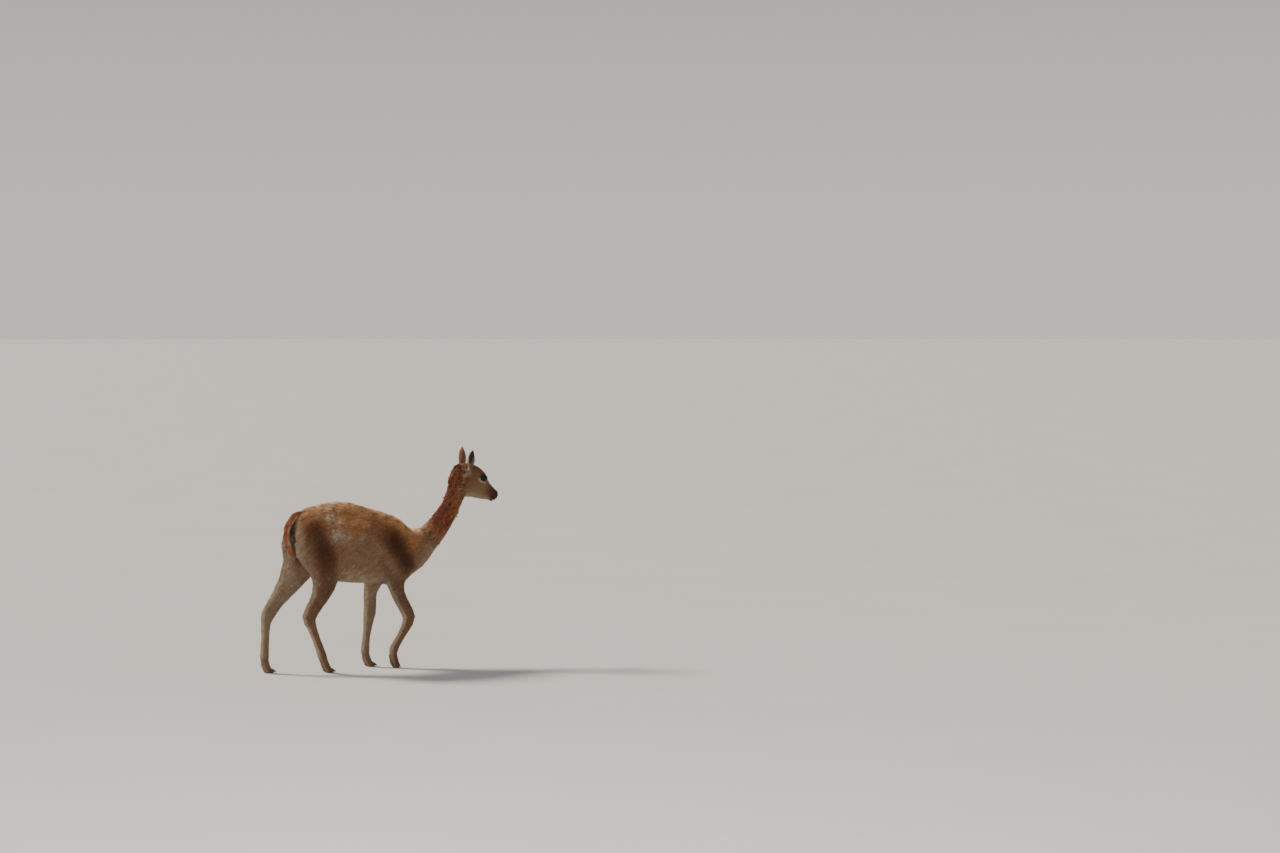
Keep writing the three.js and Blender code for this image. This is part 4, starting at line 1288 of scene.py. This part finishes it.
def skin_finish():
    """The skin and its shortest hair: the markings, broken by fine noise, and darker under the fleece as
    painted shade.
    """
    finish = Finish("coat_skin", "coat")
    colour = finish.attribute("shade")
    hair = finish.noise(0.0016, 2.0, 0.6)
    mottle = finish.noise(0.012, 4.0)
    colour = toned(finish, colour, 0.80, 0.6 * hair + 0.4 * mottle)
    # Painted shade: where the fleece covers it, the skin is a darker copy of its own colour.
    covered = finish.attribute("covered", out="Fac")
    shaded = finish.mix(1.0, colour, np.array([0.62, 0.57, 0.52]), "MULTIPLY")
    colour = finish.mix(covered, colour, shaded)
    bare = finish.attribute("bare", out="Fac")
    where = finish.object_place()
    pores = finish.node("ShaderNodeTexVoronoi", {}, Vector=where, Scale=620.0, out="Distance")
    height = hair * (1 - bare) + pores * bare
    roughness = 0.85 - 0.42 * bare
    return finish.set(
        Base_Color=colour, Roughness=roughness, Normal=finish.bump(height, 0.0007, 0.8),
        Specular_IOR_Level=0.25, Sheen_Weight=0.12, Sheen_Roughness=0.5,
    )


def hair_finish():
    """Hair and wool: the markings, darker at the roots and lighter at the tips as painted shade and light in
    the coat, with every tuft a little different.
    """
    finish = Finish("coat_hair", "coat")
    colour = finish.attribute("shade")
    strand = finish.attribute("strand")
    parts = finish.node("ShaderNodeSeparateColor", {}, strand)
    along, tone, across = (parts.beside(name) for name in ("Red", "Green", "Blue"))
    place = finish.node("ShaderNodeCombineXYZ", {}, across * 5.0 + tone * 41.0, along * 0.9, tone * 17.0)
    fibres = finish.noise(1 / 1.5, 2.0, 0.6, where=place)
    mottle = finish.noise(0.020, 3.0)
    # Painted shade at the roots and painted light at the tips of every tuft, by how far along it a point
    # lies.
    light = 0.34 + 0.26 * along + 0.24 * (tone - 0.5) + 0.30 * (mottle - 0.5) + 0.5 * (fibres - 0.5)
    colour = toned(finish, colour, 0.52, light)
    grey = finish.mix(0.3, colour, CREAM * 0.7)
    colour = finish.mix(smooth_step(finish, 0.82, 1.0, tone) * 0.4, colour, grey)
    return finish.set(
        Base_Color=colour, Roughness=0.75, Normal=finish.bump(fibres, 0.0005, 0.6),
        Specular_IOR_Level=0.3, Sheen_Weight=0.2, Sheen_Roughness=0.4,
    )


def smooth_step(finish, low, high, value):
    kind = {"interpolation_type": "SMOOTHSTEP"}
    return finish.node("ShaderNodeMapRange", kind, value, low, high, 0.0, 1.0)


def eye_finish():
    """A dark wet eye: brown-black iris with fine rays, a level pupil and a thin bluish rim."""
    finish = Finish("eye_wet", "eye")
    gaze = finish.attribute("gaze", out="Vector")
    parts = finish.node("ShaderNodeSeparateXYZ", {}, gaze)
    u, v = parts.beside("X"), parts.beside("Y")
    away = (u * u + v * v) ** 0.5
    pupil = ((u / 0.40) ** 2.0 + (v / 0.20) ** 2.0) ** 0.5
    rays = finish.noise(0.0011, 3.0)
    iris = finish.mix(rays, paint(58, 34, 18), paint(26, 14, 9))
    colour = finish.mix(smooth_step(finish, 1.08, 0.92, pupil), iris, paint(7, 6, 8))
    colour = finish.mix(smooth_step(finish, 0.74, 0.82, away), colour, paint(44, 34, 30))
    return finish.set(
        Base_Color=colour, Roughness=0.07 + 0.05 * rays, IOR=1.38, Coat_Weight=0.12,
        Coat_Roughness=0.02, Specular_IOR_Level=0.22,
    )


def lid_finish():
    """The bare, slightly moist skin of the lids."""
    finish = Finish("lid_skin", "coat")
    folds = finish.noise(0.0012, 3.0)
    colour = finish.mix(folds, EYE_SKIN * 0.6, EYE_SKIN * 1.3)
    return finish.set(
        Base_Color=colour, Roughness=0.42 + 0.2 * folds, Normal=finish.bump(folds, 0.0003),
        Specular_IOR_Level=0.45,
    )


def lash_finish():
    finish = Finish("lash_hair", "coat")
    dark = finish.noise(0.004, 2.0)
    colour = finish.mix(dark, EYE_SKIN * 0.35, EYE_SKIN * 0.9)
    return finish.set(Base_Color=colour, Roughness=0.5)


def nail_finish():
    """Dark horn with growth lines across it and a worn, paler tip."""
    finish = Finish("nail_horn", "nail")
    where = finish.object_place()
    stretched = finish.node("ShaderNodeMapping", {}, where, None, None, (1.0, 0.35, 1.0))
    rings = finish.noise(0.0022, 3.0, 0.6, where=stretched)
    fine = finish.noise(0.0007, 2.0)
    colour = finish.mix(rings, paint(38, 30, 25), paint(86, 70, 56))
    height = finish.node("ShaderNodeSeparateXYZ", {}, where)
    low = smooth_step(finish, 0.012, 0.002, height.beside("Z"))
    colour = finish.mix(low * 0.45, colour, paint(140, 120, 96))
    return finish.set(
        Base_Color=colour, Roughness=0.38 + 0.25 * fine, Specular_IOR_Level=0.45,
        Normal=finish.bump(rings * 0.7 + fine * 0.3, 0.0004, 0.8),
    )


def floor_finish():
    finish = Finish("pale_floor", "")
    stain = finish.noise(0.9, 4.0)
    colour = finish.mix(stain, paint(214, 211, 206), paint(222, 219, 214))
    return finish.set(Base_Color=colour, Roughness=0.75)


# The animal


def make_animal():
    coat, hair = skin_finish(), hair_finish()
    body = make_body()
    at = places(body)
    set_colours(body.data, "shade", coat_colour(at))
    woolled = at.trunk + at.neck + at.leg * (1 - 0.6 * at.low_leg)
    woolled = woolled + 0.25 * at.head * smooth(0.1, 0.0, at.h[:, 0])
    bare = at.head * bare_nose(at.h)
    for name, values in (("covered", woolled), ("bare", bare)):
        store(body.data, name, "FLOAT", "value", np.clip(values, 0, 1))
    surface = Surface(body)
    grow_fleece(surface, hair)
    grow_short_hair(surface, hair)
    grow_neck_wool(surface, hair)

    parts = [body]
    for name in EARS:
        ear, axes = make_ear(name)
        set_colours(ear.data, "shade", ear_colour(points_of(ear) - STANCE, normals_of(ear), axes))
        grow_ear_hair(Surface(ear), axes, name, hair)
        parts.append(ear)
    tail = make_tail()
    set_colours(tail.data, "shade", tail_colour(normals_of(tail)))
    grow_tail(Surface(tail, sorted_triangles), hair)
    parts.append(tail)
    skin = merged(parts, "skin")
    shade_smooth(skin)
    dress(skin, coat, *FLESH, *EARS, "tail")

    eye, lid, horn = eye_finish(), lid_finish(), nail_finish()
    for name, way in (("eye_left", 1), ("eye_right", -1)):
        make_eye(name, way, eye)
        rim = lid_rim(way)
        rim.name = "lids_" + name[4:]
        dress(rim, lid)
    grow_lashes(lash_finish())
    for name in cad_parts:
        if name.startswith("nail_"):
            make_nail(name, horn)


# Floor, light and camera

CAMERA_FROM_EYES = Vector((-8.838, -14.808, 0.849))
CAMERA_YAW = math.radians(33.7)  # from +Y towards +X
CAMERA_DIP = math.radians(1.9)
LENS = 90.0
SENSOR = 36.0
FLOOR_RADIUS = 300
FARTHEST_SEEN = 400
SUN_FROM = (-0.45, 0.85, 0.86)
SUN_STRENGTH = 4.2
SUN_ANGLE = math.radians(14)
SUN_TINT = (1.0, 0.93, 0.84)
FILL_FROM = (-4.5, -7.5, 3.6)
FILL_SIZE = 4.0
FILL_POWER = 150
FILL_TINT = (1.0, 0.97, 0.94)
ROOM_LOW = (0.70, 0.68, 0.655)
ROOM_HIGH = (0.28, 0.285, 0.30)


def make_floor():
    deselect()
    bpy.ops.mesh.primitive_circle_add(vertices=96, radius=FLOOR_RADIUS, fill_type="TRIFAN")
    floor = bpy.context.object
    floor.name = "floor"
    floor.data.materials.append(floor_finish())


def lamp(name, kind, tint, energy):
    data = bpy.data.lights.new(name, kind)
    data.color, data.energy = tint, energy
    obj = bpy.data.objects.new(name, data)
    bpy.context.scene.collection.objects.link(obj)
    return obj


def make_light():
    """A soft sun from behind and the left, a weak fill, and a room that is palest at the floor's edge."""
    sun = lamp("back_light", "SUN", SUN_TINT, SUN_STRENGTH)
    sun.data.angle = SUN_ANGLE
    sun.rotation_euler = Vector(SUN_FROM).to_track_quat("Z", "Y").to_euler()
    fill = lamp("fill_front", "AREA", FILL_TINT, FILL_POWER)
    fill.data.shape, fill.data.size = "DISK", FILL_SIZE
    fill.location = FILL_FROM
    fill.rotation_euler = (Vector((0, 0, 0.6)) - Vector(FILL_FROM)).to_track_quat("-Z", "Y").to_euler()

    world = bpy.data.worlds.new("studio")
    room = Nodes(world)
    where = room.node("ShaderNodeTexCoord", {}, out="Generated")
    rise = smooth_step(room, -0.02, 0.30, room.node("ShaderNodeSeparateXYZ", {}, where).beside("Z"))
    walls = room.mix(rise, np.array(ROOM_LOW), np.array(ROOM_HIGH))
    room.put(room.tree.nodes["Background"].inputs["Color"], walls)
    bpy.context.scene.world = world


def make_camera():
    data = bpy.data.cameras.new("photo_view")
    data.lens, data.sensor_width = LENS, SENSOR
    data.clip_end = FARTHEST_SEEN
    camera = bpy.data.objects.new("photo_view", data)
    bpy.context.scene.collection.objects.link(camera)
    camera.location = EYES_MIDDLE + CAMERA_FROM_EYES
    level = math.cos(CAMERA_DIP)
    look = Vector((math.sin(CAMERA_YAW) * level, math.cos(CAMERA_YAW) * level, -math.sin(CAMERA_DIP)))
    camera.rotation_euler = look.to_track_quat("-Z", "Y").to_euler()
    bpy.context.scene.camera = camera


make_camera()
make_light()
make_floor()
make_animal()
